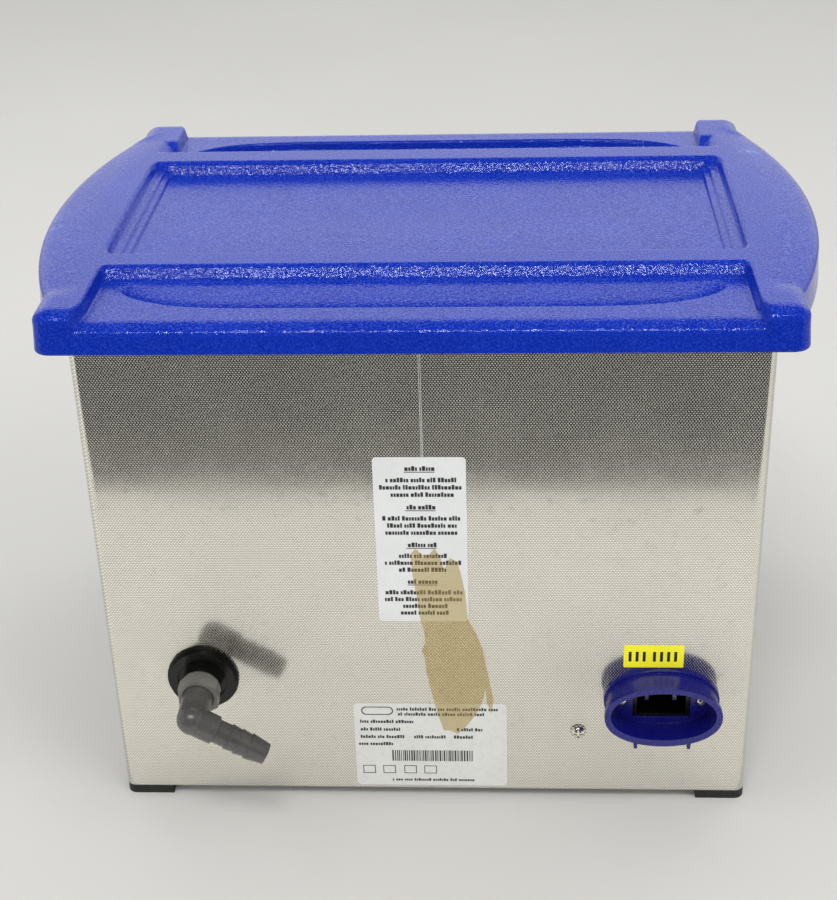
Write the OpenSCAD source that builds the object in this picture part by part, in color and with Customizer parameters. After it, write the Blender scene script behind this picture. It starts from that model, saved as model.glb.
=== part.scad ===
// Heated bench-top ultrasonic cleaner, tank volume about 10 litres.
// Millimetres. +Z is up, z = 0 is the bench, and the origin is under the middle of the housing.
// -Y is the front with the controls, +Y is the rear with the drain and the mains inlet, +X is the drain tap's side.

/* [Housing] */
// Width of the steel housing, side to side
housing_w = 325; // [322:1:330]
// Depth of the steel housing, front to rear
housing_d = 247; // [246:1:252]
// Height of the housing's top edge above the bench
housing_top = 262; // [256:1:266]
// Outer radius of the housing's upright corners
corner_r = 5; // [4:0.5:8]
// Thickness of the housing's sheet steel
sheet_t = 0.8; // [0.6:0.1:1]
// Height of the four corner feet
foot_h = 5.2; // [5:0.2:8]
// Side of each square foot
foot_w = 25; // [22:1:30]

/* [Tank] */
// Inside width of the tank
tank_w = 300; // [290:1:302]
// Inside depth of the tank, front to rear
tank_d = 240; // [230:1:240]
// Depth of the tank below its rim
tank_depth = 150; // [130:1:152]
// Thickness of the tank's sheet steel
tank_t = 0.9; // [0.8:0.1:1]
// Inside radius of the tank's upright corners
tank_r = 20; // [12:1:30]
// How far the rim rises above the housing's top edge
rim_rise = 5; // [4:0.5:6]

/* [Lid] */
// Length of the lid across its four corner arms
lid_w = 352; // [346:1:356]
// Depth of the lid, front to rear
lid_d = 274; // [270:1:278]
// Height of the lid, skirt edge to top
lid_h = 20; // [18:0.5:24]
// Wall thickness of the formed lid
lid_t = 3; // [2:0.5:3]
// Radius of the arc that bounds each side wing
wing_r = 328; // [320:1:340]
// Distance of that arc's centre beyond the middle of the lid
wing_off = 133; // [130:1:140]
// Drop from the lid's top to the front and rear ledges
ledge_drop = 6.6; // [5:0.2:8]

/* [Drain] */
// Sideways place of the drain outlet
drain_x = 115; // [105:1:120]
// Height of the drain outlet
drain_z = 76.3; // [70:0.1:80]
// Angle of the hose barb below the level
barb_angle = 31; // [0:1:60]
// Length of the hose barb, from the drain's axis to its tip
barb_len = 40.6; // [36:0.2:46]

/* [Mains inlet] */
// Sideways place of the mains inlet
inlet_x = -117.3; // [-125:0.1:-105]
// Height of the mains inlet
inlet_z = 64.5; // [60:0.1:72]
// Distance between the inlet's two fixing screws
inlet_pitch = 40; // [40:1:41]

/* [Controls] */
// Sideways distance of each rotary knob from the middle
knob_x = 92; // [85:1:100]
// Height of both rotary knobs
knob_z = 60; // [56:1:66]
// Outer diameter of a knob's skirt
knob_d = 44; // [36:1:48]
// Sideways distance of each key from the middle
key_x = 24; // [20:1:30]
// Travel of a key
key_travel = 1.2; // [0.8:0.1:1.4]

/* [Hidden] */
$fn = 64;

half_w = housing_w / 2;
half_d = housing_d / 2;
rim_z = housing_top + rim_rise;
tank_floor_z = rim_z - tank_depth;
tank_under_z = tank_floor_z - tank_t;

// Rim flange of the tank, which covers the top of the housing
rim_w = housing_w + 11;
rim_d = housing_d + 12;
rim_lip_z = housing_top - 0.5;

// Lid levels
lid_z0 = rim_z - 3;
lid_z1 = lid_z0 + lid_h;
ledge_z = lid_z1 - ledge_drop;
wing_half = 120;
arm_in_x = 146;
bar_in_y = 61.5;
bar_out_y = 79;
recess_steps = [[151, 61.5, 4.4], [145.4, 56, 5.8], [141.4, 52, 6.8]];
grip_half_x = 137;
grip_half_y = 112.5;
grip_r = 33;
grip_drop = 4;
lid_rib_t = 3;

// Bottom plate
plate_t = 1;
plate_z = foot_h + plate_t;
plate_w = housing_w - 2 * sheet_t - 0.2;
plate_d = housing_d - 2 * sheet_t - 0.2;
foot_screw_x = half_w - 14.5;
foot_screw_y = half_d - 14.5;

// Side handles, under the lid's wings
handle_out = 23.5;
handle_half = 55;
handle_z0 = 236;
handle_z1 = housing_top - 0.8;
handle_screw_y = 51;
handle_screw_z = 249;

// Drain train: outlet, pipe, ball valve, spigot, elbow
outlet_y = -12;
outlet_z = 106;
pipe_r = 12;
bore_r = 8;
valve_y = 30;
valve_y0 = 6;
valve_y1 = 44;
valve_r = 17;
ball_r = 12;
stem_r = 4;
spigot_r = 8.4;
spigot_end = half_d + 14.6;
bezel_r = 18.2;
collar_end = half_d + 7.5;
nut_y0 = half_d + 9.5;
nut_y1 = nut_y0 + 9;
elbow_y = half_d + 35.5;
elbow_r = 7.7;
knob_side_x = half_w + 0.7;

// Mains inlet
socket_w = 28.4;
socket_h = 19;
cavity_w = 24.4;
cavity_h = 16.8;
shroud_out = 16.5;

// Front panel
panel_w = 298;
panel_z0 = 12;
panel_z1 = 108;
panel_t = 3;
front_y = -half_d;
panel_y = front_y - panel_t;
foil_t = 0.3;
open_w = 284;
open_z0 = 18;
open_z1 = 102;
key_z = 40;
key_w = 20;
key_h = 12;
lens_z = 62;
board_y = front_y + 11.5;
shaft_r = 3;
knob_y = panel_y - foil_t - 0.8;

// Power electronics on the bottom plate
pcb_z = plate_z + 10;
pcb_t = 1.6;

// Ultrasonic transducers under the tank
transducer_x = 62;
transducer_y = 55;
stack_r = 19;

// Labels on the rear panel: [x of the middle, z of the bottom, width, height]
notice_at = [1.6, 111, 44.3, 93];
rating_at = [0, 7, 78.6, 53];
voltage_at = [-112.6, 83.6, 29.8, 13.2];

// ---------- shared shapes ----------

// Rectangle with round corners, centred
module rrect(w, d, r) {
    square([w - 2 * r, d], center = true);
    square([w, d - 2 * r], center = true);
    for (sx = [-1, 1], sy = [-1, 1])
        translate([sx * (w / 2 - r), sy * (d / 2 - r)]) circle(r);
}

// Upright block with round corners, between two heights
module prism(w, d, r, z0, z1) {
    translate([0, 0, z0]) linear_extrude(z1 - z0) rrect(w, d, r);
}

// Plain block between three pairs of coordinates
module block(x, y, z) {
    translate([x[0], y[0], z[0]]) cube([x[1] - x[0], y[1] - y[0], z[1] - z[0]]);
}

// Cylinders along the three axes, each between two coordinates
module x_cyl(r, x, y, z) {
    translate([x[0], y, z]) rotate([0, 90, 0]) cylinder(r = r, h = x[1] - x[0]);
}
module y_cyl(r, x, y, z) {
    translate([x, y[0], z]) rotate([-90, 0, 0]) cylinder(r = r, h = y[1] - y[0]);
}
module z_cyl(r, x, y, z) {
    translate([x, y, z[0]]) cylinder(r = r, h = z[1] - z[0]);
}

// Extrudes a flat shape, drawn in x and z, between two y coordinates
module upright(y) {
    translate([0, y[1], 0]) rotate([90, 0, 0]) linear_extrude(y[1] - y[0]) children();
}

// One half of an oval's coordinate: slightly fuller than an ellipse's
function fuller(c) = sign(c) * pow(abs(c), 0.94);

// Oval drawn in x and z
module oval(w, h) {
    sides = 72;
    polygon([for (i = [0 : sides - 1]) let (a = i * 360 / sides) [w / 2 * fuller(cos(a)), h / 2 * fuller(sin(a))]]);
}

// Children at the four transducers
module at_transducers() {
    for (sx = [-1, 1], sy = [-1, 1])
        translate([sx * transducer_x, sy * transducer_y, 0]) children();
}

// Points of a smooth curve through a list of points, a few for each stretch
function smooth(p, steps) = [
    for (i = [0 : len(p) - 2], k = [0 : steps - 1])
        let (
            a = p[max(i - 1, 0)], b = p[i], c = p[i + 1], d = p[min(i + 2, len(p) - 1)],
            t = k / steps
        )
        ((2 * b) + (c - a) * t + (2 * a - 5 * b + 4 * c - d) * t * t + (3 * b - a - 3 * c + d) * t * t * t) / 2,
    p[len(p) - 1]
];

// Eight-sided tube swept along a list of points, none of whose stretches runs along X
module tube(p, r) {
    sides = 8;
    n = len(p);
    rings = [
        for (i = [0 : n - 1])
            let (
                run = p[min(i + 1, n - 1)] - p[max(i - 1, 0)],
                along = run / norm(run),
                across = cross(along, [1, 0, 0]),
                u = across / norm(across),
                v = cross(along, u)
            )
            for (k = [0 : sides - 1]) p[i] + r * (cos(k * 45) * u + sin(k * 45) * v)
    ];
    skin = [
        for (i = [0 : n - 2], k = [0 : sides - 1])
            let (a = i * sides + k, b = i * sides + (k + 1) % sides)
            [a, b, b + sides, a + sides]
    ];
    polyhedron(rings, concat(
        [[for (k = [sides - 1 : -1 : 0]) k]],
        skin,
        [[for (k = [0 : sides - 1]) (n - 1) * sides + k]]
    ));
}

module wire(points, r) {
    tube(smooth(points, 4), r);
}

// ---------- lid ----------

// Outline of the lid: a rectangle with corner arms and two bulging wings
module lid_plan(inset) {
    rrect(lid_w - 2 * inset, lid_d - 2 * inset, 8 - inset);
    intersection() {
        translate([-wing_off, 0]) circle(wing_r - inset, $fn = 180);
        translate([wing_off, 0]) circle(wing_r - inset, $fn = 180);
        square([2 * lid_w, 2 * (wing_half - inset)], center = true);
    }
}

// Outline of the finger recesses along the two cross bars
module grip_plan(grow) {
    rrect(2 * (grip_half_x + grow), 2 * (grip_half_y + grow), grip_r + grow);
}

// The two ledges outside the cross bars, down to height z
module ledge_space(grow, z) {
    for (sy = [-1, 1])
        translate([0, sy * (bar_out_y - grow + 50), z + 25])
            cube([2 * (arm_in_x + grow), 100, 50], center = true);
}

// The finger recesses, down to height z
module grip_space(grow, z) {
    intersection() {
        translate([0, 0, z]) linear_extrude(40) grip_plan(grow);
        ledge_space(grow, z);
    }
}

module lid() {
    floor_drop = recess_steps[2][2];
    color([0.16, 0.2, 0.72]) difference() {
        translate([0, 0, lid_z0]) linear_extrude(lid_h) lid_plan(0);
        ledge_space(0, ledge_z);
        grip_space(0, ledge_z - grip_drop);
        for (s = recess_steps)
            prism(2 * s[0], 2 * s[1], 4, lid_z1 - s[2], lid_z1 + 1);
        // the hollow underside, less the skins below each drop and the rib that stands on the tank's rim
        difference() {
            translate([0, 0, lid_z0 - 1]) linear_extrude(lid_h - lid_t + 1) lid_plan(lid_t);
            ledge_space(lid_t, ledge_z - lid_t);
            grip_space(lid_t, ledge_z - grip_drop - lid_t);
            prism(2 * (recess_steps[0][0] + lid_t), 2 * (bar_in_y + lid_t), 4, lid_z1 - floor_drop - lid_t, lid_z1);
            difference() {
                prism(rim_w - 10, rim_d - 5, 6, rim_z + 0.05, lid_z1);
                prism(rim_w - 10 - 2 * lid_rib_t, rim_d - 5 - 2 * lid_rib_t, 3, rim_z, lid_z1 + 1);
            }
        }
    }
}

// ---------- housing ----------

// One bent sheet with its seam at the middle of the rear
module housing_shell() {
    seam = 0.3;
    color([0.72, 0.71, 0.68]) difference() {
        prism(housing_w, housing_d, corner_r, foot_h, housing_top);
        prism(housing_w - 2 * sheet_t, housing_d - 2 * sheet_t, corner_r - sheet_t, foot_h - 1, housing_top + 1);
        block([-seam / 2, seam / 2], [half_d - 5, half_d + 5], [0, housing_top + 1]);
        block([-open_w / 2, open_w / 2], [front_y - 5, front_y + 5], [open_z0, open_z1]);
        y_cyl(10.6, drain_x, [half_d - 5, half_d + 5], drain_z);
        translate([inlet_x, half_d, inlet_z]) cube([socket_w + 0.6, 10, socket_h + 0.6], center = true);
        for (s = [-1, 1])
            y_cyl(1.9, inlet_x + s * inlet_pitch / 2, [half_d - 5, half_d + 5], inlet_z);
        y_cyl(2.2, -75.8, [half_d - 5, half_d + 5], 43);
        x_cyl(stem_r + 2, [half_w - 5, half_w + 5], valve_y, drain_z);
        for (sx = [-1, 1], sy = [-1, 1])
            x_cyl(2.2, [sx * half_w - 5, sx * half_w + 5], sy * handle_screw_y, handle_screw_z);
    }
}

module seam_strap() {
    strap_w = 24;
    back = half_d - sheet_t;
    color([0.6, 0.6, 0.58])
        block([-strap_w / 2, strap_w / 2], [back - 0.8, back], [20, housing_top - 6]);
}

module bottom_plate() {
    rim_h = 9;
    slot_l = 42;
    color([0.66, 0.66, 0.64]) difference() {
        union() {
            prism(plate_w, plate_d, 4, foot_h, plate_z);
            difference() {
                prism(plate_w, plate_d, 4, plate_z, plate_z + rim_h);
                prism(plate_w - 2, plate_d - 2, 3, plate_z - 1, plate_z + rim_h + 1);
            }
            for (sx = [-1, 1], sy = [-1, 1])
                z_cyl(4, sx * foot_screw_x, sy * foot_screw_y, [plate_z, plate_z + 5]);
        }
        for (sx = [-1, 1], sy = [-1, 1])
            z_cyl(2.05, sx * foot_screw_x, sy * foot_screw_y, [0, plate_z + 6]);
        for (sx = [-1, 1], i = [-4 : 4])
            translate([sx * 105, i * 11, 0]) prism(slot_l, 4, 1.9, foot_h - 1, plate_z + 1);
    }
}

// One corner foot: sx and sy pick the corner
module foot(sx, sy) {
    color([0.07, 0.07, 0.08]) difference() {
        intersection() {
            prism(housing_w, housing_d, corner_r, 0, foot_h);
            translate([sx * (half_w - foot_w / 2 + 10), sy * (half_d - foot_w / 2 + 10), 0])
                cube([foot_w + 20, foot_w + 20, 30], center = true);
        }
        z_cyl(4.6, sx * foot_screw_x, sy * foot_screw_y, [-1, 2.6]);
        z_cyl(2.2, sx * foot_screw_x, sy * foot_screw_y, [-1, foot_h + 1]);
    }
}
module foot_front_left() { foot(-1, -1); }
module foot_front_right() { foot(1, -1); }
module foot_rear_left() { foot(-1, 1); }
module foot_rear_right() { foot(1, 1); }

module foot_screws() {
    color([0.75, 0.75, 0.76])
        for (sx = [-1, 1], sy = [-1, 1])
            translate([sx * foot_screw_x, sy * foot_screw_y, 0]) difference() {
                union() {
                    z_cyl(4, 0, 0, [0.8, 2.6]);
                    z_cyl(2, 0, 0, [2.6, plate_z + 7]);
                }
                block([-3, 3], [-0.5, 0.5], [0, 1.6]);
                block([-0.5, 0.5], [-3, 3], [0, 1.6]);
            }
}

// Both handles: s is -1 for the left one and 1 for the right one
module handle(s) {
    x0 = half_w;
    x1 = half_w + handle_out;
    color([0.1, 0.1, 0.11]) difference() {
        translate([s * (x0 + x1) / 2, 0, 0])
            prism(handle_out, 2 * handle_half, 3, handle_z0, handle_z1);
        translate([s * (x0 + x1) / 2 + s * 0.5, 0, 0])
            prism(handle_out - 8, 2 * (handle_half - 8), 3, handle_z0 - 1, handle_z1 - 5);
        for (sy = [-1, 1])
            x_cyl(1.6, [s * (x0 + 6.5) - 7, s * (x0 + 6.5) + 7], sy * handle_screw_y, handle_screw_z);
    }
}
module handle_left() { handle(-1); }
module handle_right() { handle(1); }

module handle_screws() {
    head = 2.4;
    length = 14;
    inner = half_w - sheet_t;
    color([0.78, 0.78, 0.79])
        for (s = [-1, 1], sy = [-1, 1])
            translate([s * inner, sy * handle_screw_y, handle_screw_z]) rotate([0, s * 90, 0]) {
                translate([0, 0, -head]) cylinder(r = 3.6, h = head);
                cylinder(r = 1.5, h = length - head);
            }
}

// ---------- tank ----------

// Pressed tank with its broad rim flange, rolled edge and welded drain boss
module tank() {
    outer_w = tank_w + 2 * tank_t;
    outer_d = tank_d + 2 * tank_t;
    outer_r = tank_r + tank_t;
    color([0.82, 0.82, 0.82]) difference() {
        union() {
            difference() {
                prism(rim_w, rim_d, 8, rim_lip_z, rim_z);
                prism(rim_w - 2 * tank_t, rim_d - 2 * tank_t, 8 - tank_t, rim_lip_z - 1, rim_z - tank_t);
            }
            prism(outer_w, outer_d, outer_r, tank_under_z, rim_z);
            z_cyl(pipe_r, drain_x, outlet_y, [outlet_z, tank_under_z + 0.4]);
        }
        prism(tank_w, tank_d, tank_r, tank_floor_z, rim_z + 1);
        z_cyl(bore_r, drain_x, outlet_y, [outlet_z - 1, tank_floor_z + 1]);
    }
}

// Silicone ring between the housing's top edge and the rim flange
module rim_seal() {
    color([0.12, 0.12, 0.12]) difference() {
        prism(housing_w + 7, housing_d + 8, 7, housing_top, rim_z - tank_t);
        prism(housing_w - 5, housing_d - 4.4, 4, housing_top - 1, rim_z + 1);
    }
}

module heater_pads() {
    x0 = tank_w / 2 + tank_t;
    color([0.85, 0.42, 0.12])
        for (s = [-1, 1])
            translate([s * (x0 + 1.2), 0, 160]) cube([2.4, 180, 70], center = true);
}

module temperature_sensor() {
    color([0.8, 0.65, 0.3]) difference() {
        block([-9, 9], [-6, 6], [tank_under_z - 7, tank_under_z]);
        x_cyl(2, [-10, 5], 0, tank_under_z - 3.5);
    }
}

module thermal_cutout() {
    x0 = tank_w / 2 + tank_t;
    color([0.2, 0.2, 0.22]) {
        x_cyl(9, [-x0 - 4, -x0], 0, 212);
        x_cyl(6, [-x0 - 7, -x0 - 4], 0, 212);
    }
}

// ---------- transducers ----------

module transducer_front_masses() {
    color([0.8, 0.8, 0.82]) at_transducers() difference() {
        translate([0, 0, tank_under_z - 20.3]) cylinder(r1 = stack_r, r2 = 29, h = 20.3);
        z_cyl(5.05, 0, 0, [tank_under_z - 21, tank_under_z - 6]);
    }
}

module piezo_rings() {
    ring = 5.2;
    color([0.55, 0.5, 0.42]) at_transducers()
        for (i = [1, 2])
            difference() {
                z_cyl(stack_r, 0, 0, [tank_under_z - 20.3 - i * ring, tank_under_z - 20.6 - (i - 1) * ring]);
                z_cyl(6.5, 0, 0, [0, tank_under_z]);
            }
}

module transducer_back_masses() {
    top = tank_under_z - 30.7;
    color([0.5, 0.5, 0.53]) at_transducers() difference() {
        z_cyl(stack_r, 0, 0, [top - 18, top]);
        z_cyl(5.05, 0, 0, [top - 19, top + 1]);
    }
}

module transducer_bolts() {
    seat = tank_under_z - 48.7;
    color([0.25, 0.25, 0.27]) at_transducers() difference() {
        union() {
            z_cyl(8, 0, 0, [seat - 7, seat]);
            z_cyl(5, 0, 0, [seat, tank_under_z - 7]);
        }
        translate([0, 0, seat - 8]) cylinder(r = 4.6, h = 5, $fn = 6);
    }
}

// ---------- drain ----------

// Bent pipe from the tank's boss to the valve
module drain_pipe() {
    color([0.75, 0.75, 0.76]) difference() {
        union() {
            z_cyl(pipe_r, drain_x, outlet_y, [drain_z, outlet_z]);
            translate([drain_x, outlet_y, drain_z]) sphere(pipe_r);
            y_cyl(pipe_r, drain_x, [outlet_y, valve_y0], drain_z);
        }
        z_cyl(bore_r, drain_x, outlet_y, [drain_z, outlet_z + 1]);
        translate([drain_x, outlet_y, drain_z]) sphere(bore_r);
        y_cyl(bore_r, drain_x, [outlet_y, valve_y0 + 1], drain_z);
    }
}

module valve_body() {
    color([0.76, 0.62, 0.32]) difference() {
        union() {
            y_cyl(valve_r, drain_x, [valve_y0, valve_y1], drain_z);
            x_cyl(8, [drain_x, drain_x + 24], valve_y, drain_z);
        }
        y_cyl(bore_r, drain_x, [valve_y0 - 1, valve_y1], drain_z);
        y_cyl(ball_r + 0.5, drain_x, [valve_y - ball_r - 2, valve_y1 + 1], drain_z);
        x_cyl(stem_r + 0.05, [drain_x, drain_x + 25], valve_y, drain_z);
    }
}

// Two soft rings that hold the ball
module valve_seats() {
    color([0.95, 0.95, 0.93]) difference() {
        union() {
            y_cyl(ball_r + 0.4, drain_x, [valve_y - ball_r - 2, valve_y - 7], drain_z);
            y_cyl(ball_r + 0.4, drain_x, [valve_y + 7, valve_y + ball_r + 2], drain_z);
        }
        y_cyl(bore_r, drain_x, [valve_y - 20, valve_y + 20], drain_z);
        translate([drain_x, valve_y, drain_z]) sphere(ball_r + 0.3);
    }
}

// Screwed end of the valve with the threaded spigot that passes the rear panel
module valve_end_cap() {
    color([0.76, 0.62, 0.32]) difference() {
        union() {
            y_cyl(valve_r, drain_x, [valve_y1, valve_y1 + 12], drain_z);
            y_cyl(10, drain_x, [valve_y1 + 12, half_d + 1], drain_z);
            y_cyl(spigot_r, drain_x, [half_d + 1, spigot_end], drain_z);
        }
        y_cyl(6, drain_x, [valve_y1 - 1, spigot_end + 1], drain_z);
    }
}

module valve_ball() {
    color([0.85, 0.85, 0.87]) difference() {
        translate([drain_x, valve_y, drain_z]) sphere(ball_r);
        y_cyl(bore_r - 1, drain_x, [valve_y - 20, valve_y + 20], drain_z);
        block([drain_x + ball_r - 3, drain_x + 20], [valve_y - 2.5, valve_y + 2.5], [drain_z - 5, drain_z + 5]);
    }
}

// Rod from the ball to the knob on the housing's side
module valve_stem() {
    tongue = drain_x + ball_r - 2.9;
    color([0.8, 0.8, 0.82]) {
        intersection() {
            block([tongue, drain_x + 15], [valve_y - 2.4, valve_y + 2.4], [drain_z - 3.4, drain_z + 3.4]);
            x_cyl(stem_r, [tongue, drain_x + 15], valve_y, drain_z);
        }
        x_cyl(stem_r, [drain_x + ball_r + 1, knob_side_x + 12], valve_y, drain_z);
    }
}

// Round tap knob with a raised grip bar
module drain_knob() {
    base = 5;
    grip = 12;
    color([0.1, 0.1, 0.12]) difference() {
        union() {
            x_cyl(19, [knob_side_x, knob_side_x + base], valve_y, drain_z);
            translate([knob_side_x + base, valve_y, drain_z]) rotate([0, 90, 0])
                linear_extrude(grip) rrect(9, 34, 4);
        }
        x_cyl(stem_r + 0.02, [knob_side_x - 1, knob_side_x + 12.5], valve_y, drain_z);
    }
}

// Stepped black ring around the outlet, with a collar that the spigot passes through
module drain_bezel() {
    color([0.05, 0.05, 0.06]) difference() {
        union() {
            y_cyl(bezel_r, drain_x, [half_d, half_d + 1.4], drain_z);
            y_cyl(bezel_r - 0.8, drain_x, [half_d + 1.4, half_d + 2.6], drain_z);
            difference() {
                y_cyl(bezel_r - 1.3, drain_x, [half_d + 2.6, half_d + 3.8], drain_z);
                y_cyl(12.5, drain_x, [half_d + 2, half_d + 5], drain_z);
            }
            y_cyl(9.7, drain_x, [half_d + 2.6, collar_end], drain_z);
        }
        y_cyl(10.2, drain_x, [half_d - 1, half_d + 1.2], drain_z);
        y_cyl(spigot_r + 0.2, drain_x, [half_d, collar_end + 1], drain_z);
    }
}

module lock_ring() {
    color([0.9, 0.9, 0.92]) difference() {
        y_cyl(10.2, drain_x, [collar_end, nut_y0], drain_z);
        y_cyl(spigot_r + 0.05, drain_x, [half_d, nut_y0 + 1], drain_z);
    }
}

// Hexagonal union nut, chamfered at its back, that holds the elbow's collar against the spigot
module union_nut() {
    across_flats = 19.4;
    corner = across_flats / 2 / cos(30);
    length = nut_y1 - nut_y0;
    color([0.26, 0.26, 0.27]) difference() {
        translate([drain_x, nut_y0, drain_z]) rotate([-90, 30, 0]) intersection() {
            cylinder(r = corner, h = length, $fn = 6);
            union() {
                cylinder(r1 = 9.6, r2 = 11.6, h = 3);
                translate([0, 0, 3]) cylinder(r = 11.6, h = length);
            }
        }
        y_cyl(spigot_r + 0.1, drain_x, [nut_y0 - 1, nut_y1 - 1.8], drain_z);
        y_cyl(elbow_r + 0.3, drain_x, [nut_y0 - 1, nut_y1 + 1], drain_z);
    }
}

// Profile of the hose barb from the elbow's shoulder to its tip: radius and distance
function barb_profile() = let (tip = barb_len) [
    [0, 0], [7.3, 0], [7.3, 12.4], [6, 13], [6, tip - 21.2], [6.7, tip - 20.6],
    [6, tip - 15.8], [6.7, tip - 15.2], [6, tip - 10.2], [6.75, tip - 9.6], [5.4, tip], [0, tip]
];

module hose_elbow() {
    collar_y = spigot_end + 0.2;
    color([0.3, 0.3, 0.31]) difference() {
        union() {
            y_cyl(spigot_r - 0.2, drain_x, [collar_y, nut_y1 - 2.1], drain_z);
            y_cyl(elbow_r, drain_x, [collar_y, elbow_y], drain_z);
            translate([drain_x, elbow_y, drain_z]) sphere(elbow_r);
            translate([drain_x, elbow_y, drain_z]) rotate([0, -90 - barb_angle, 0])
                rotate_extrude() polygon(barb_profile());
        }
        y_cyl(4.3, drain_x, [collar_y - 1, elbow_y + 3.6], drain_z);
        translate([drain_x, elbow_y, drain_z]) rotate([0, -90 - barb_angle, 0])
            cylinder(r = 4, h = barb_len + 1);
    }
}

// ---------- mains inlet ----------

// Outline of the socket: a rectangle with its two upper corners cut off
module socket_plan(full_w, full_h, cut) {
    w = full_w / 2;
    h = full_h / 2;
    polygon([[-w, -h], [w, -h], [w, h - cut], [w - cut, h], [cut - w, h], [-w, h - cut]]);
}

module inlet_socket() {
    color([0.05, 0.05, 0.05]) translate([inlet_x, 0, inlet_z]) difference() {
        union() {
            upright([half_d - 20, half_d + 1.5]) socket_plan(socket_w, socket_h, 5);
            upright([half_d - sheet_t - 2.4, half_d - sheet_t]) difference() {
                rrect(50, 26, 6);
                for (s = [-1, 1]) translate([s * inlet_pitch / 2, 0]) circle(1.9);
            }
        }
        upright([half_d - 15.5, half_d + 3]) socket_plan(cavity_w, cavity_h, 4.4);
        for (p = [[-7, -1.5], [0, 2.5], [7, -1.5]])
            block([p[0] - 1.05, p[0] + 1.05], [half_d - 22, half_d - 14], [p[1] - 2.05, p[1] + 2.05]);
    }
}

module inlet_pins() {
    color([0.8, 0.8, 0.8]) translate([inlet_x, 0, inlet_z])
        for (p = [[-7, -1.5], [0, 2.5], [7, -1.5]])
            block([p[0] - 1, p[0] + 1], [half_d - 27, half_d - 3], [p[1] - 2, p[1] + 2]);
}

// Oval hood around the socket, with a foot flange, a waist and a lip
module inlet_shroud() {
    y0 = half_d;
    y1 = half_d + shroud_out;
    color([0.1, 0.1, 0.42]) translate([inlet_x, 0, inlet_z]) difference() {
        union() {
            upright([y0, y0 + 2.8]) oval(58, 37.4);
            upright([y0 + 2.8, y1 - 3.2]) oval(56, 34.6);
            upright([y1 - 3.2, y1]) oval(58.6, 35.4);
            for (s = [-1, 1])
                upright([y0 + 2.8, y1 - 1.5]) translate([s * 13.3, 0])
                    polygon([[-1.2, -14.8], [-0.8, -20.4], [0.8, -20.4], [1.2, -14.8]]);
        }
        upright([y0 + 2.8, y1 + 1]) translate([0, 0.4]) oval(52.4, 28.6);
        upright([y0 - 1, y1]) socket_plan(socket_w + 0.4, socket_h + 0.4, 5.1);
        for (s = [-1, 1])
            y_cyl(1.9, s * inlet_pitch / 2, [y0 - 1, y1], 0);
    }
}

// Domed screw with a cross recess, pointing inwards from the rear
module rear_screw(x, z, seat_y, head_r, head_h, shank_r, length) {
    dome_r = (head_r * head_r + head_h * head_h) / (2 * head_h);
    translate([x, seat_y, z]) rotate([-90, 0, 0]) {
        difference() {
            intersection() {
                cylinder(r = head_r, h = head_h);
                translate([0, 0, head_h - dome_r]) sphere(dome_r);
            }
            for (a = [0, 90]) rotate([0, 0, a])
                translate([0, 0, head_h]) cube([head_r * 1.2, head_r * 0.28, head_h * 1.1], center = true);
        }
        translate([0, 0, -length]) cylinder(r = shank_r, h = length);
    }
}

module inlet_screws() {
    color([0.85, 0.85, 0.85])
        for (s = [-1, 1])
            rear_screw(inlet_x + s * inlet_pitch / 2, inlet_z, half_d + 2.8, 3, 1.9, 1.5, 9);
}

// Earth screw on its toothed washer
module earth_screw() {
    washer_r = 4.15;
    washer_t = 0.7;
    color([0.85, 0.85, 0.85]) {
        rear_screw(-75.8, 43, half_d + washer_t, 3.7, 2.4, 2, 12);
        difference() {
            y_cyl(washer_r, -75.8, [half_d, half_d + washer_t], 43);
            for (i = [0 : 11])
                translate([-75.8, half_d - 1, 43]) rotate([-90, i * 30, 0])
                    translate([washer_r - 0.2, 0, 0]) cube([0.8, 0.7, 6], center = true);
        }
    }
}

// ---------- front panel ----------

// Openings for knob shafts, keys and lenses, drawn in x and z
module panel_holes(gap) {
    for (s = [-1, 1]) {
        translate([s * knob_x, knob_z]) circle(shaft_r + 0.8 + gap);
        translate([s * key_x, key_z]) rrect(key_w + 0.8 + 2 * gap, key_h + 0.8 + 2 * gap, 3);
        translate([s * key_x, lens_z]) circle(2.5 + gap);
    }
    translate([0, lens_z + 16]) circle(2.5 + gap);
}

module control_panel() {
    mid_z = (panel_z0 + panel_z1) / 2;
    plug_h = open_z1 - open_z0 - 0.6;
    plug_w = open_w - 0.6;
    color([0.14, 0.16, 0.5]) difference() {
        union() {
            upright([panel_y, front_y]) translate([0, mid_z]) rrect(panel_w, panel_z1 - panel_z0, 6);
            upright([front_y, front_y + 5]) translate([0, mid_z]) difference() {
                rrect(plug_w, plug_h, 4);
                rrect(plug_w - 4, plug_h - 4, 2);
            }
            for (sx = [-1, 1], z = [32, 88])
                y_cyl(3, sx * 62, [front_y, board_y], z);
        }
        upright([panel_y - 1, front_y + 1]) panel_holes(0);
    }
}

module panel_foil() {
    mid_z = (panel_z0 + panel_z1) / 2;
    color([0.85, 0.86, 0.88])
        upright([panel_y - foil_t, panel_y]) difference() {
            translate([0, mid_z]) rrect(panel_w - 10, panel_z1 - panel_z0 - 10, 4);
            panel_holes(0.1);
        }
}

module status_lenses() {
    color([0.2, 0.8, 0.3])
        for (p = [[-key_x, lens_z], [key_x, lens_z], [0, lens_z + 16]])
            y_cyl(2.45, p[0], [panel_y - 0.8, board_y], p[1]);
}

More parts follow.
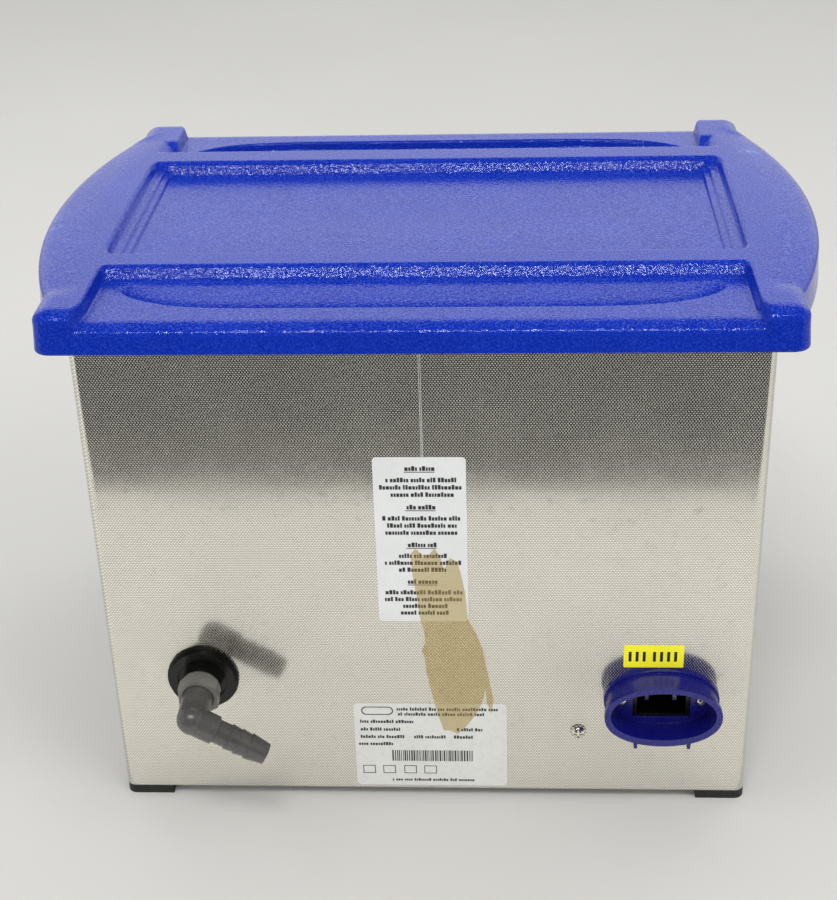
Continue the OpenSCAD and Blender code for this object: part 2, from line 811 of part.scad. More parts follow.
// Rotary knob: skirt, fluted grip and pointer rib
module rotary_knob(x) {
    skirt = 3;
    grip = 13;
    grip_r = knob_d / 2 - 4.5;
    color([0.12, 0.14, 0.5]) difference() {
        union() {
            y_cyl(knob_d / 2, x, [knob_y - skirt, knob_y], knob_z);
            y_cyl(grip_r, x, [knob_y - skirt - grip, knob_y - skirt], knob_z);
            block([x - 1.5, x + 1.5], [knob_y - skirt - grip - 0.8, knob_y - skirt], [knob_z + 4, knob_z + grip_r + 1]);
        }
        for (i = [0 : 11])
            translate([x, 0, knob_z]) rotate([0, 15 + i * 30, 0])
                y_cyl(1.8, 0, [knob_y - skirt - grip - 1, knob_y - skirt - 1], grip_r + 0.7);
        y_cyl(shaft_r + 0.02, x, [knob_y - skirt - 8.5, knob_y + 1], knob_z);
    }
}
module timer_knob() { rotary_knob(-knob_x); }
module temperature_knob() { rotary_knob(knob_x); }

// Steel shaft from the knob into its control
module knob_shaft(x) {
    color([0.75, 0.75, 0.76]) y_cyl(shaft_r, x, [knob_y - 11, front_y + 15], knob_z);
}
module timer_shaft() { knob_shaft(-knob_x); }
module temperature_shaft() { knob_shaft(knob_x); }

module timer_mechanism() {
    color([0.85, 0.83, 0.76]) difference() {
        union() {
            block([-knob_x - 17, -knob_x + 17], [front_y + 6, front_y + 26], [knob_z - 17, knob_z + 17]);
            y_cyl(6, -knob_x, [front_y, front_y + 6], knob_z);
        }
        y_cyl(shaft_r + 0.05, -knob_x, [front_y - 1, front_y + 15.5], knob_z);
    }
}

module temperature_control() {
    color([0.15, 0.3, 0.2]) difference() {
        union() {
            y_cyl(12, knob_x, [front_y + 6, front_y + 18], knob_z);
            y_cyl(6, knob_x, [front_y, front_y + 6], knob_z);
            block([knob_x - 9, knob_x + 9], [front_y + 8, front_y + 12], [knob_z - 18, knob_z - 10]);
        }
        y_cyl(shaft_r + 0.05, knob_x, [front_y - 1, front_y + 15.5], knob_z);
    }
}

// Push key: s is -1 for the power key and 1 for the degassing key
module push_key(s) {
    proud = 1.8;
    color([0.8, 0.8, 0.82]) translate([s * key_x, 0, key_z]) {
        upright([panel_y - proud, front_y + 0.8]) rrect(key_w, key_h, 2.6);
        upright([front_y + 0.8, front_y + 2.2]) rrect(key_w + 4, key_h + 4, 2);
        y_cyl(3, 0, [front_y + 2.2, board_y - 4.4 - key_travel], 0);
    }
}
module power_key() { push_key(-1); }
module degas_key() { push_key(1); }

// Board behind the front panel, with a short-travel switch behind each key
module control_board() {
    color([0.1, 0.4, 0.2]) {
        block([-70, 70], [board_y, board_y + pcb_t], [26, 94]);
        for (s = [-1, 1]) {
            block([s * key_x - 4, s * key_x + 4], [board_y - 2.6, board_y], [key_z - 4, key_z + 4]);
            y_cyl(1.8, s * key_x, [board_y - 4.2, board_y - 2.6], key_z);
        }
        block([-16, 16], [board_y + pcb_t, board_y + pcb_t + 5], [70, 80]);
    }
}

// ---------- power electronics ----------

module generator_board() {
    color([0.1, 0.42, 0.22]) {
        block([-80, 80], [-78, 24], [pcb_z, pcb_z + pcb_t]);
        block([58, 76], [0, 12], [pcb_z + pcb_t, pcb_z + pcb_t + 12]);
        block([-78, -60], [0, 12], [pcb_z + pcb_t, pcb_z + pcb_t + 12]);
    }
}

module board_standoffs() {
    color([0.8, 0.7, 0.4])
        for (x = [-74, 74], y = [-72, 18])
            z_cyl(3.5, x, y, [plate_z, pcb_z]);
}

module heatsink() {
    z0 = pcb_z + pcb_t;
    color([0.6, 0.6, 0.63]) {
        block([-66, -6], [-70, -30], [z0, z0 + 4]);
        for (i = [0 : 9])
            translate([-66 + i * 6.4, 0, 0]) block([0, 2.4], [-70, -30], [z0 + 4, z0 + 30]);
    }
}

// Ferrite core with its winding
module output_transformer() {
    z0 = pcb_z + pcb_t;
    color([0.22, 0.2, 0.2]) {
        block([4, 46], [-66, -54], [z0, z0 + 34]);
        block([4, 46], [-42, -30], [z0, z0 + 34]);
        block([10, 40], [-54, -42], [z0 + 3, z0 + 31]);
    }
}

module board_capacitors() {
    z0 = pcb_z + pcb_t;
    color([0.1, 0.15, 0.45])
        for (p = [[62, -60], [62, -34], [-40, -14], [-10, -14]])
            z_cyl(11, p[0], p[1], [z0, z0 + 30]);
}

module mains_filter() {
    color([0.7, 0.7, 0.7]) {
        block([-148, -98], [24, 86], [plate_z, plate_z + 30]);
        for (y = [34, 55, 76])
            block([-96.5, -90], [y - 3, y + 3], [plate_z + 20, plate_z + 21]);
        block([-98, -96.5], [28, 82], [plate_z + 14, plate_z + 27]);
    }
}

// Leads from the inlet to the filter, on to the generator, and up to the control board
module wiring() {
    lead_r = 1.4;
    pin_y = half_d - 27;
    board_top = pcb_z + pcb_t + 12;
    color([0.6, 0.1, 0.1]) {
        for (i = [-1, 1])
            wire([[inlet_x + i * 7, pin_y, inlet_z - 1.5], [inlet_x + i * 7, 88, inlet_z - 1.5],
                  [inlet_x + i * 7, 78, 52], [inlet_x + i * 7, 74, plate_z + 30]], lead_r);
        wire([[-90, 55, plate_z + 20.5], [-86, 52, plate_z + 26], [-72, 22, 44], [-69, 6, 40],
              [-69, 6, board_top]], lead_r);
        wire([[67, 6, board_top], [67, 6, 44], [60, -20, 52], [16, -92, 60], [6, -100, 75],
              [4, board_y + pcb_t + 5, 75]], lead_r);
    }
}

// ---------- labels ----------

// Thin label on the rear panel: at holds its middle x, bottom z, width and height
module rear_label(at, r) {
    thick = 0.2;
    upright([half_d, half_d + thick])
        translate([at[0], at[1] + at[3] / 2]) rrect(at[2], at[3], r);
}
module notice_label() { color([0.95, 0.95, 0.94]) rear_label(notice_at, 2); }
module rating_plate() { color([0.88, 0.87, 0.84]) rear_label(rating_at, 2.5); }
module voltage_label() { color([0.95, 0.88, 0.1]) rear_label(voltage_at, 0.6); }

lid();
housing_shell();
seam_strap();
bottom_plate();
foot_front_left();
foot_front_right();
foot_rear_left();
foot_rear_right();
foot_screws();
tank();
rim_seal();
handle_left();
handle_right();
handle_screws();
heater_pads();
temperature_sensor();
thermal_cutout();
transducer_front_masses();
piezo_rings();
transducer_back_masses();
transducer_bolts();
drain_pipe();
valve_body();
valve_seats();
valve_end_cap();
valve_ball();
valve_stem();
drain_knob();
drain_bezel();
lock_ring();
union_nut();
hose_elbow();
inlet_socket();
inlet_pins();
inlet_shroud();
inlet_screws();
earth_screw();
control_panel();
panel_foil();
status_lenses();
timer_knob();
timer_shaft();
timer_mechanism();
temperature_knob();
temperature_shaft();
temperature_control();
power_key();
degas_key();
control_board();
generator_board();
board_standoffs();
heatsink();
output_transformer();
board_capacitors();
mains_filter();
wiring();
notice_label();
rating_plate();
voltage_label();
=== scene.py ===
import math
import random

import bmesh
import bpy
import numpy as np
from mathutils import Matrix, Vector


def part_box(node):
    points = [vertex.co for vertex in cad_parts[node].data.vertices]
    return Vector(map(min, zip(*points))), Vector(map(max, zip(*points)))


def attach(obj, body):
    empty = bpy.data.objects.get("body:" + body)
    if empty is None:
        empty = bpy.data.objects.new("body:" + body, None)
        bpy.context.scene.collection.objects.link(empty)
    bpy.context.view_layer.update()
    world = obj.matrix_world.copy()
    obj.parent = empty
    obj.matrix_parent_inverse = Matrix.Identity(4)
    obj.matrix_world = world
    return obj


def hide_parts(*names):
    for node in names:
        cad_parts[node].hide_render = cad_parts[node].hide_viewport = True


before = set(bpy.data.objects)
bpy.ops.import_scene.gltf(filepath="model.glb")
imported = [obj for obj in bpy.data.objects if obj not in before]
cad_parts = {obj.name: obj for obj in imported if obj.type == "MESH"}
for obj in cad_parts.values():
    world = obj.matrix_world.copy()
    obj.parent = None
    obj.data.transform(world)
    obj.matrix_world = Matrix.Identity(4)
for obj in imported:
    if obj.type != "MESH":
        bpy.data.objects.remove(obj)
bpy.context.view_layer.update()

MM = 0.001
DICE = random.Random(7)

# ---------------------------------------------------------------- camera

CAMERA_AT = Vector((-0.04343, 0.82326, 0.59287))
CAMERA_YAW = 0.06412
CAMERA_PITCH = 0.50214
CAMERA_ROLL = -0.03253
CAMERA_LENS = 68.216


def add_camera():
    """The photograph's view: from behind the cleaner, above it and a little to its left."""
    level = math.cos(CAMERA_PITCH)
    ahead = Vector((math.sin(CAMERA_YAW) * level, -math.cos(CAMERA_YAW) * level, -math.sin(CAMERA_PITCH)))
    side = ahead.cross(Vector((0, 0, 1))).normalized()
    up = side.cross(ahead)
    turn = Matrix.Rotation(-CAMERA_ROLL, 3, ahead)
    side, up = turn @ side, turn @ up
    data = bpy.data.cameras.new("view")
    data.lens = CAMERA_LENS
    camera = bpy.data.objects.new("view", data)
    bpy.context.scene.collection.objects.link(camera)
    camera.matrix_world = Matrix((side, up, -ahead)).transposed().to_4x4()
    camera.location = CAMERA_AT
    bpy.context.scene.camera = camera


add_camera()

# ---------------------------------------------------------------- mesh helpers


def mesh_object(name, points, faces, smooth=True):
    """A mesh object in the row frame, from points in millimetres."""
    mesh = bpy.data.meshes.new(name)
    mesh.from_pydata([tuple(c * MM for c in p) for p in points], [], faces)
    mesh.update()
    if smooth:
        mesh.shade_smooth()
    piece = bpy.data.objects.new(name, mesh)
    bpy.context.scene.collection.objects.link(piece)
    return piece


def dress(piece, body, material):
    """Gives a new piece its body and its material."""
    piece.data.materials.append(material)
    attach(piece, body)
    return piece


def slab(points, faces, outline, y0, y1):
    """Adds an upright plate, its outline in x and z, between two values of y."""
    start, n = len(points), len(outline)
    points += [(x, y0, z) for x, z in outline] + [(x, y1, z) for x, z in outline]
    faces.append([start + i for i in range(n)])
    faces.append([start + n + i for i in reversed(range(n))])
    for i in range(n):
        j = (i + 1) % n
        faces.append([start + j, start + i, start + n + i, start + n + j])


def outline_box(x0, z0, x1, z1):
    return [(x0, z0), (x1, z0), (x1, z1), (x0, z1)]


def closed(piece):
    """Turns every face of a closed mesh outwards."""
    shape = bmesh.new()
    shape.from_mesh(piece.data)
    bmesh.ops.recalc_face_normals(shape, faces=shape.faces)
    shape.to_mesh(piece.data)
    shape.free()
    return piece


# ---------------------------------------------------------------- material helpers


class Shade:
    """A node material round one Principled shader, built a step at a time."""

    def __init__(self, name, colour, roughness, metallic=0.0, specular=0.5, coat=0.0):
        self.material = bpy.data.materials.new(name)
        self.material.use_nodes = True
        self.nodes = self.material.node_tree.nodes
        self.links = self.material.node_tree.links
        self.shader = self.nodes["Principled BSDF"]
        self.shader.inputs["Base Color"].default_value = (*colour, 1)
        self.shader.inputs["Roughness"].default_value = roughness
        self.shader.inputs["Metallic"].default_value = metallic
        self.shader.inputs["Specular IOR Level"].default_value = specular
        self.shader.inputs["Coat Weight"].default_value = coat
        self.shader.inputs["Coat Roughness"].default_value = 0.08
        self.place = self.nodes.new("ShaderNodeTexCoord").outputs["Object"]

    def add(self, kind, settings=(), **inputs):
        node = self.nodes.new(kind)
        for key, value in dict(settings).items():
            setattr(node, key, value)
        for key, value in inputs.items():
            self.feed(node.inputs[key.replace("_", " ")], value)
        return node

    def feed(self, socket, value):
        if isinstance(value, bpy.types.NodeSocket):
            self.links.new(value, socket)
        else:
            socket.default_value = value

    def math(self, operation, a, b=0.0):
        node = self.nodes.new("ShaderNodeMath")
        node.operation = operation
        self.feed(node.inputs[0], a)
        self.feed(node.inputs[1], b)
        return node.outputs[0]

    def vector(self, operation, a, b=None, output=0):
        """A vector sum; SCALE takes a number for b, and DOT_PRODUCT is read at output 1."""
        node = self.nodes.new("ShaderNodeVectorMath")
        node.operation = operation
        self.feed(node.inputs[0], a)
        if b is not None:
            self.feed(node.inputs["Scale"] if operation == "SCALE" else node.inputs[1], b)
        return node.outputs[output]

    def noise(self, size_mm, detail=3.0, stretch=(1, 1, 1), roughness=0.55):
        """Noise from 0 to 1, with features of about that size."""
        place = self.add("ShaderNodeMapping", Vector=self.place, Scale=stretch).outputs[0]
        return self.add(
            "ShaderNodeTexNoise", Vector=place, Scale=1000.0 / size_mm, Detail=detail, Roughness=roughness
        ).outputs["Fac"]

    def cells(self, size_mm, feature="F1"):
        return self.add(
            "ShaderNodeTexVoronoi", {"feature": feature}, Vector=self.place, Scale=1000.0 / size_mm
        ).outputs["Distance"]

    def spread(self, value, low, high, to_low, to_high):
        return self.add(
            "ShaderNodeMapRange",
            Value=value,
            From_Min=low,
            From_Max=high,
            To_Min=to_low,
            To_Max=to_high,
        ).outputs[0]

    def colours(self, value, low, high, dark, light):
        """The base colour runs from dark to light as the value runs from low to high."""
        ramp = self.nodes.new("ShaderNodeValToRGB")
        ramp.color_ramp.elements[0].position = low
        ramp.color_ramp.elements[0].color = (*dark, 1)
        ramp.color_ramp.elements[1].position = high
        ramp.color_ramp.elements[1].color = (*light, 1)
        self.links.new(value, ramp.inputs[0])
        self.links.new(ramp.outputs[0], self.shader.inputs["Base Color"])
        return ramp.outputs[0]

    def tint(self, over, value, colour):
        """Lays another colour over what is there, as far as the value says."""
        mix = self.nodes.new("ShaderNodeMix")
        mix.data_type = "RGBA"
        self.feed(mix.inputs[0], value)
        self.links.new(over, mix.inputs[6])
        mix.inputs[7].default_value = (*colour, 1)
        self.links.new(mix.outputs[2], self.shader.inputs["Base Color"])
        return mix.outputs[2]

    def rough(self, value, low, high, smoothest, roughest):
        self.links.new(self.spread(value, low, high, smoothest, roughest), self.shader.inputs["Roughness"])

    def bump(self, height, depth_mm, strength=1.0, under=None):
        """Relief of that depth; under is an earlier relief that this one lies on."""
        node = self.add("ShaderNodeBump", Height=height, Distance=depth_mm * MM, Strength=strength)
        if under is not None:
            self.links.new(under, node.inputs["Normal"])
        self.links.new(node.outputs[0], self.shader.inputs["Normal"])
        return node.outputs[0]


def moulded(name, colour, roughness, grain_mm=0.5, depth_mm=0.02, specular=0.5, coat=0.0):
    """Moulded plastic or rubber: a fine grain, slight mottling and a sheen that varies."""
    shade = Shade(name, colour, roughness, specular=specular, coat=coat)
    mottle = shade.noise(14, 4)
    darker = [c * 0.82 for c in colour]
    lighter = [min(1, c * 1.15 + 0.004) for c in colour]
    shade.colours(mottle, 0.35, 0.68, darker, lighter)
    shade.rough(shade.noise(5, 5), 0.3, 0.7, roughness * 0.82, min(1, roughness * 1.18))
    soft = shade.add("ShaderNodeBevel", {"samples": 4}, Radius=0.3 * MM).outputs[0]
    shade.bump(shade.noise(grain_mm, 2), depth_mm, under=soft)
    return shade.material


def metal(name, colour, roughness, stretch=(1, 1, 1), grain_mm=0.4, depth_mm=0.006):
    """Bare metal with the fine lines that turning, drawing or brushing leaves."""
    shade = Shade(name, colour, roughness, metallic=1.0)
    stain = shade.noise(22, 5)
    shade.colours(stain, 0.3, 0.7, [c * 0.86 for c in colour], colour)
    lines = shade.noise(grain_mm, 4, stretch)
    shade.rough(lines, 0.3, 0.7, roughness * 0.75, roughness * 1.3)
    shade.bump(lines, depth_mm)
    return shade.material


# ---------------------------------------------------------------- materials

STEEL_DULL, STEEL_CLEAN = (0.73, 0.71, 0.65), (0.86, 0.84, 0.77)
SCUFFS = [(-171.5, -75.5, 7.0), (190.5, 14.0, 5.0), (187.0, 26.0, 5.0)]


def dot_relief(shade, under):
    """The slope of the sheet's raised dots, as a surface normal, and how high the dots stand from 0 to 1."""
    step_mm, row_mm, height_mm, low, span = 1.42, 1.0, 0.085, 0.0, 0.62
    turn, rise = 2000 * math.pi / step_mm, 1000 * math.pi / row_mm
    split = shade.add("ShaderNodeSeparateXYZ", Vector=shade.place)
    along = shade.math("MULTIPLY", shade.math("ADD", split.outputs[0], split.outputs[1]), turn)
    up = shade.math("MULTIPLY", split.outputs[2], rise)
    cos_along, cos_up = shade.math("COSINE", along), shade.math("COSINE", up)
    sin_along, sin_up = shade.math("SINE", along), shade.math("SINE", up)
    wave = shade.math("MULTIPLY", cos_along, cos_up)
    part = shade.spread(wave, low, low + span, 0.0, 1.0)
    steep = shade.math("MULTIPLY", shade.math("MULTIPLY", part, shade.math("SUBTRACT", 1.0, part)), 6 / span)
    facing = shade.add("ShaderNodeSeparateXYZ", Vector=shade.add("ShaderNodeNewGeometry").outputs["Normal"])
    wall = shade.math("LESS_THAN", shade.math("ABSOLUTE", facing.outputs[2]), 0.5)
    steep = shade.math("MULTIPLY", steep, wall)
    down_along = shade.math("MULTIPLY", shade.math("MULTIPLY", sin_along, cos_up), turn * height_mm * MM)
    down_up = shade.math("MULTIPLY", shade.math("MULTIPLY", cos_along, sin_up), rise * height_mm * MM)
    lean_along = shade.math("MULTIPLY", down_along, steep)
    lean_up = shade.math("MULTIPLY", down_up, steep)
    lean = shade.add("ShaderNodeCombineXYZ", X=lean_along, Y=lean_along, Z=lean_up).outputs[0]
    out = shade.vector("DOT_PRODUCT", lean, under, 1)
    flat = shade.vector("SUBTRACT", lean, shade.vector("SCALE", under, out))
    return shade.vector("NORMALIZE", shade.vector("ADD", under, flat)), part


def embossed_steel():
    """Stainless sheet rolled with rows of small raised dots, each row set off by half a step, with painted
    shade in the valleys between the dots and a painted highlight on their tops.
    """
    shade = Shade("embossed_steel", (0.72, 0.69, 0.62), 0.12, metallic=1.0)
    waves = shade.bump(shade.noise(60, 2), 0.10, 0.6)
    normal, dots = dot_relief(shade, waves)
    shade.links.new(normal, shade.shader.inputs["Normal"])
    smear = shade.noise(34, 6, (1, 1, 0.7), 0.62)
    stain = shade.noise(7, 5, (1, 1, 1), 0.7)
    clean = shade.colours(smear, 0.3, 0.72, STEEL_DULL, STEEL_CLEAN)
    greyed = shade.tint(clean, shade.spread(stain, 0.57, 0.74, 0.0, 0.6), (0.50, 0.49, 0.48))
    # Painted shade darkens the valleys between the dots, and a painted highlight lightens the dots' tops.
    shaded_valleys = shade.tint(greyed, shade.spread(dots, 0.0, 0.35, 0.75, 0.0), (0.44, 0.43, 0.395))
    shade.tint(shaded_valleys, shade.spread(dots, 0.5, 1.0, 0.0, 0.9), (0.99, 0.98, 0.94))
    smeared = shade.spread(smear, 0.35, 0.75, 0.0, 0.07)
    stained = shade.spread(stain, 0.55, 0.75, 0.0, 0.08)
    wear_and_sheen = shade.math("ADD", smeared, stained)
    shade.links.new(shade.math("ADD", wear_and_sheen, 0.10), shade.shader.inputs["Roughness"])
    return shade.material


def leather_grain_plastic():
    """The lid's sheet plastic: a pebbled leather grain with scuffs and pale rubs. The grain's hollows carry
    painted shade and its crests a painted sheen, strongest on upward faces; the steep walls reflect less, as
    painted shade.
    """
    blue, deep = (0.004, 0.029, 0.40), (0.003, 0.023, 0.355)
    shade = Shade("blue_plastic", blue, 0.2, specular=0.6)
    shade.shader.inputs["Specular Tint"].default_value = (0.86, 0.95, 1.0, 1)
    pebble = shade.cells(1.3, "SMOOTH_F1")
    grain = shade.noise(0.8, 3)
    facing = shade.add("ShaderNodeSeparateXYZ", Vector=shade.add("ShaderNodeNewGeometry").outputs["Normal"])
    level_part = shade.spread(facing.outputs[2], 0.62, 0.93, 0.0, 1.0)
    body = shade.colours(shade.noise(30, 5), 0.32, 0.7, deep, blue)
    # Painted shade: the grain's hollows are darkened.
    hollow_shade = shade.tint(body, shade.spread(grain, 0.38, 0.5, 0.45, 0.0), (0.002, 0.010, 0.22))
    on_top = shade.spread(level_part, 0, 1, 0.3, 1.0)
    # Painted sheen: the grain's crests are lightened, more on upward faces than on walls.
    crest_sheen = shade.math("MULTIPLY", shade.spread(grain, 0.52, 0.64, 0.0, 0.26), on_top)
    wear_and_sheen = shade.tint(hollow_shade, crest_sheen, (0.18, 0.25, 0.60))
    rubs = shade.noise(3.5, 6, (1, 1, 1), 0.75)
    patch = shade.spread(shade.noise(55, 2), 0.6, 0.72, 0.0, 1.0)
    rub = shade.math("MULTIPLY", shade.spread(rubs, 0.62, 0.74, 0.0, 0.30), patch)
    rubbed = shade.tint(wear_and_sheen, rub, (0.16, 0.2, 0.62))
    scratch = shade.spread(shade.noise(2.2, 5, (1, 2.5, 1), 0.7), 0.5, 0.56, 0.0, 0.75)
    for x, y, reach in SCUFFS:
        near = shade.vector("DISTANCE", shade.place, (x * MM, y * MM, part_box("lid")[1].z), 1)
        here = shade.math("MULTIPLY", scratch, shade.spread(near, reach * MM, 0, 0.0, 1.0))
        rubbed = shade.tint(rubbed, here, (0.13, 0.34, 0.78))
    shade.rough(shade.noise(9, 5), 0.3, 0.7, 0.09, 0.14)
    pebble_gloss = shade.spread(pebble, 0.15, 0.6, 1.25, 0.7)
    gloss = shade.math("MULTIPLY", pebble_gloss, shade.spread(grain, 0.38, 0.62, 0.3, 1.0))
    # Painted shade: weaker specular reflection on steep faces darkens the lid's walls.
    sheen = shade.math("MULTIPLY", gloss, shade.spread(level_part, 0, 1, 0.3, 0.85))
    shade.links.new(sheen, shade.shader.inputs["Specular IOR Level"])
    coarse = shade.bump(pebble, 0.15, 1.0)
    shade.bump(grain, 0.06, 0.9, under=coarse)
    return shade.material


def scratched_gloss(name, colour, roughness=0.16, specular=0.55):
    """Glossy moulding with hairline scratches and dust, its edges just rounded enough to catch the light."""
    shade = Shade(name, colour, roughness, specular=specular)
    darker = [c * 0.85 for c in colour]
    lighter = [min(1, c * 1.12 + 0.002) for c in colour]
    shade.colours(shade.noise(12, 4), 0.3, 0.7, darker, lighter)
    hairs = shade.noise(0.9, 5, (1, 6, 1), 0.7)
    shade.rough(hairs, 0.45, 0.75, roughness, roughness + 0.22)
    soft = shade.add("ShaderNodeBevel", {"samples": 4}, Radius=0.35 * MM).outputs[0]
    waves = shade.bump(shade.noise(9, 2), 0.03, 0.5, under=soft)
    shade.bump(hairs, 0.004, 0.6, under=waves)
    return shade.material


def film(name, colour, roughness=0.34):
    """Printed label film: a faint wrinkle and a little grime."""
    shade = Shade(name, colour, roughness, specular=0.4)
    shade.colours(shade.noise(16, 5), 0.3, 0.68, [c * 0.93 for c in colour], colour)
    shade.rough(shade.noise(4, 4), 0.3, 0.7, roughness * 0.85, roughness * 1.2)
    shade.bump(shade.noise(11, 2), 0.04, 0.4)
    return shade.material


def circuit_board():
    shade = Shade("circuit_board", (0.02, 0.16, 0.05), 0.28, coat=0.3)
    tracks = shade.add(
        "ShaderNodeTexBrick",
        {"offset": 0.37, "squash": 1.4},
        Vector=shade.place,
        Scale=95.0,
        Mortar_Size=0.035,
        Color1=(0.018, 0.14, 0.045, 1),
        Color2=(0.024, 0.19, 0.06, 1),
        Mortar=(0.05, 0.3, 0.11, 1),
    )
    shade.links.new(tracks.outputs["Color"], shade.shader.inputs["Base Color"])
    shade.bump(tracks.outputs["Fac"], 0.03)
    return shade.material


def clear_lens():
    shade = Shade("lens", (0.10, 0.62, 0.16), 0.1, coat=0.4)
    shade.shader.inputs["Transmission Weight"].default_value = 0.35
    shade.colours(shade.noise(2, 3), 0.35, 0.65, (0.05, 0.42, 0.09), (0.16, 0.72, 0.24))
    shade.bump(shade.noise(0.6, 2), 0.01)
    return shade.material


def packing_tape():
    """Brown film tape left behind when it was torn off: thin, smooth and partly clear."""
    shade = Shade("packing_tape", (0.50, 0.36, 0.17), 0.22, specular=0.45)
    cloud = shade.noise(17, 3)
    shade.colours(cloud, 0.3, 0.7, (0.46, 0.32, 0.13), (0.58, 0.44, 0.24))
    shade.bump(shade.noise(6, 2), 0.05, 0.5)
    clear = shade.nodes.new("ShaderNodeBsdfTransparent")
    clear.inputs[0].default_value = (0.985, 0.965, 0.88, 1)
    mix = shade.nodes.new("ShaderNodeMixShader")
    shade.feed(mix.inputs[0], shade.spread(cloud, 0.3, 0.7, 0.12, 0.21))
    shade.links.new(clear.outputs[0], mix.inputs[1])
    shade.links.new(shade.shader.outputs[0], mix.inputs[2])
    output = shade.nodes["Material Output"]
    shade.links.new(mix.outputs[0], output.inputs["Surface"])
    return shade.material


LOOKS = {
    "blue_plastic": leather_grain_plastic(),
    "embossed_steel": embossed_steel(),
    "tank_steel": metal("tank_steel", (0.70, 0.70, 0.69), 0.22, (1, 1, 14), 1.2, 0.008),
    "zinc": metal("zinc", (0.66, 0.67, 0.66), 0.3, (6, 6, 1), 0.9, 0.01),
    "foot_rubber": moulded("foot_rubber", (0.012, 0.012, 0.013), 0.62, 0.7, 0.03),
    "black_plastic": moulded("black_plastic", (0.011, 0.011, 0.011), 0.42, 0.7, 0.03, 0.35),
    "gloss_black": scratched_gloss("gloss_black", (0.005, 0.005, 0.004), 0.14, 0.3),
    "silicone_seal": moulded("silicone_seal", (0.03, 0.03, 0.031), 0.55, 1.2, 0.02),
    "silicone_orange": moulded("silicone_orange", (0.52, 0.13, 0.03), 0.5, 1.6, 0.08),
    "brass": metal("brass", (0.62, 0.43, 0.17), 0.26, (1, 10, 1), 0.8, 0.01),
    "nickel": metal("nickel", (0.74, 0.72, 0.68), 0.16, (1, 1, 1), 1.6, 0.02),
    "aluminium": metal("aluminium", (0.74, 0.74, 0.75), 0.3, (1, 1, 9), 0.7, 0.01),
    "ceramic": moulded("ceramic", (0.36, 0.29, 0.20), 0.5, 0.5, 0.02),
    "turned_steel": metal("turned_steel", (0.42, 0.42, 0.43), 0.28, (1, 1, 12), 0.6, 0.01),
    "black_oxide": metal("black_oxide", (0.05, 0.05, 0.055), 0.4, (1, 1, 6), 0.6, 0.01),
    "ptfe": moulded("ptfe", (0.82, 0.82, 0.79), 0.4, 1.5, 0.02),
    "grey_plastic": moulded("grey_plastic", (0.066, 0.065, 0.062), 0.28, 0.9, 0.03, 0.6),
    "chrome": metal("chrome", (0.86, 0.86, 0.85), 0.07, (1, 8, 1), 1.4, 0.003),
    "navy_plastic": scratched_gloss("navy_plastic", (0.005, 0.006, 0.16), 0.22, 0.5),
    "panel_blue": moulded("panel_blue", (0.014, 0.022, 0.30), 0.42, 1.0, 0.05),
    "foil": film("foil", (0.56, 0.58, 0.61), 0.3),
    "lens": clear_lens(),
    "knob_blue": moulded("knob_blue", (0.012, 0.018, 0.24), 0.36, 0.8, 0.03),
    "cream_plastic": moulded("cream_plastic", (0.62, 0.57, 0.43), 0.4, 0.8, 0.02),
    "key_grey": moulded("key_grey", (0.34, 0.35, 0.37), 0.42, 0.6, 0.02),
    "circuit_board": circuit_board(),
    "ferrite": moulded("ferrite", (0.022, 0.020, 0.020), 0.6, 0.6, 0.05),
    "capacitor_sleeve": scratched_gloss("capacitor_sleeve", (0.012, 0.022, 0.12), 0.24),
    "wire_red": moulded("wire_red", (0.36, 0.014, 0.010), 0.46, 0.6, 0.02),
    "label_white": film("label_white", (0.75, 0.77, 0.78)),
    "label_silver": film("label_silver", (0.70, 0.705, 0.69), 0.28),
    "label_yellow": film("label_yellow", (0.98, 0.92, 0.03), 0.36),
}
OWN_LOOKS = {"union_nut": moulded("nut_plastic", (0.16, 0.16, 0.145), 0.34, 0.9, 0.03, 0.6)}
INK = moulded("print_ink", (0.016, 0.016, 0.018), 0.45, 0.3, 0.004)
PALE_INK = moulded("print_pale", (0.17, 0.19, 0.24), 0.45, 0.3, 0.004)
TAPE = packing_tape()


def finish_cad_nodes():
    """Every CAD node's plain material gives way to the finished one of the same slot."""
    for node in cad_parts.values():
        for place in node.material_slots:
            slot = place.material.name.split(".")[0]
            place.material = OWN_LOOKS.get(node.name, LOOKS[slot])


# ---------------------------------------------------------------- lid

LID_LOW, LID_HIGH = (v / MM for v in (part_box("lid")[0].z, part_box("lid")[1].z))
WING_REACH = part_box("lid")[1].x / MM - 0.2
LID_HALF_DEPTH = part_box("lid")[1].y / MM
ARM_NEAR, ARM_FAR = 175.2, 171.2
LID_CORNER = 8.0
WING_RADIUS = 308.0
WING_CENTRE = WING_RADIUS - WING_REACH
WING_HALF_DEPTH = 115.0
WING_FALL, WING_FALL_WIDTH = 2.2, 26.0
SIDE_ROUND, SIDE_FALL = 5.0, 3.4
END_ROUND, END_FALL = 8.6, 5.8
DRAFT = 0.9
SHEET_THICKNESS = 2.8
BAR_REAR, BAR_FRONT, BAR_WALL = 78.3, 83.3, 7.2
LEDGE_DROP = 6.6
REAR_ARM_FOOT, FRONT_ARM_FOOT, ARM_WALL, LEDGE_CORNER = 151.0, 145.3, 2.3, 1.4
REAR_FOOT_FLARE, FRONT_FOOT_FLARE = (3, 121, 14), (5, 125, 12)
POCKET_HALF, POCKET_FAR, POCKET_SLOPE_X, POCKET_SLOPE_Y = 156.0, 104.0, 12, 14
GRIP_START, GRIP_NARROWS, GRIP_HALF = 84.5, 18.5, 139.0
GRIP_REAR, GRIP_FRONT, GRIP_DIP = 115.2, 118.0, 6.2
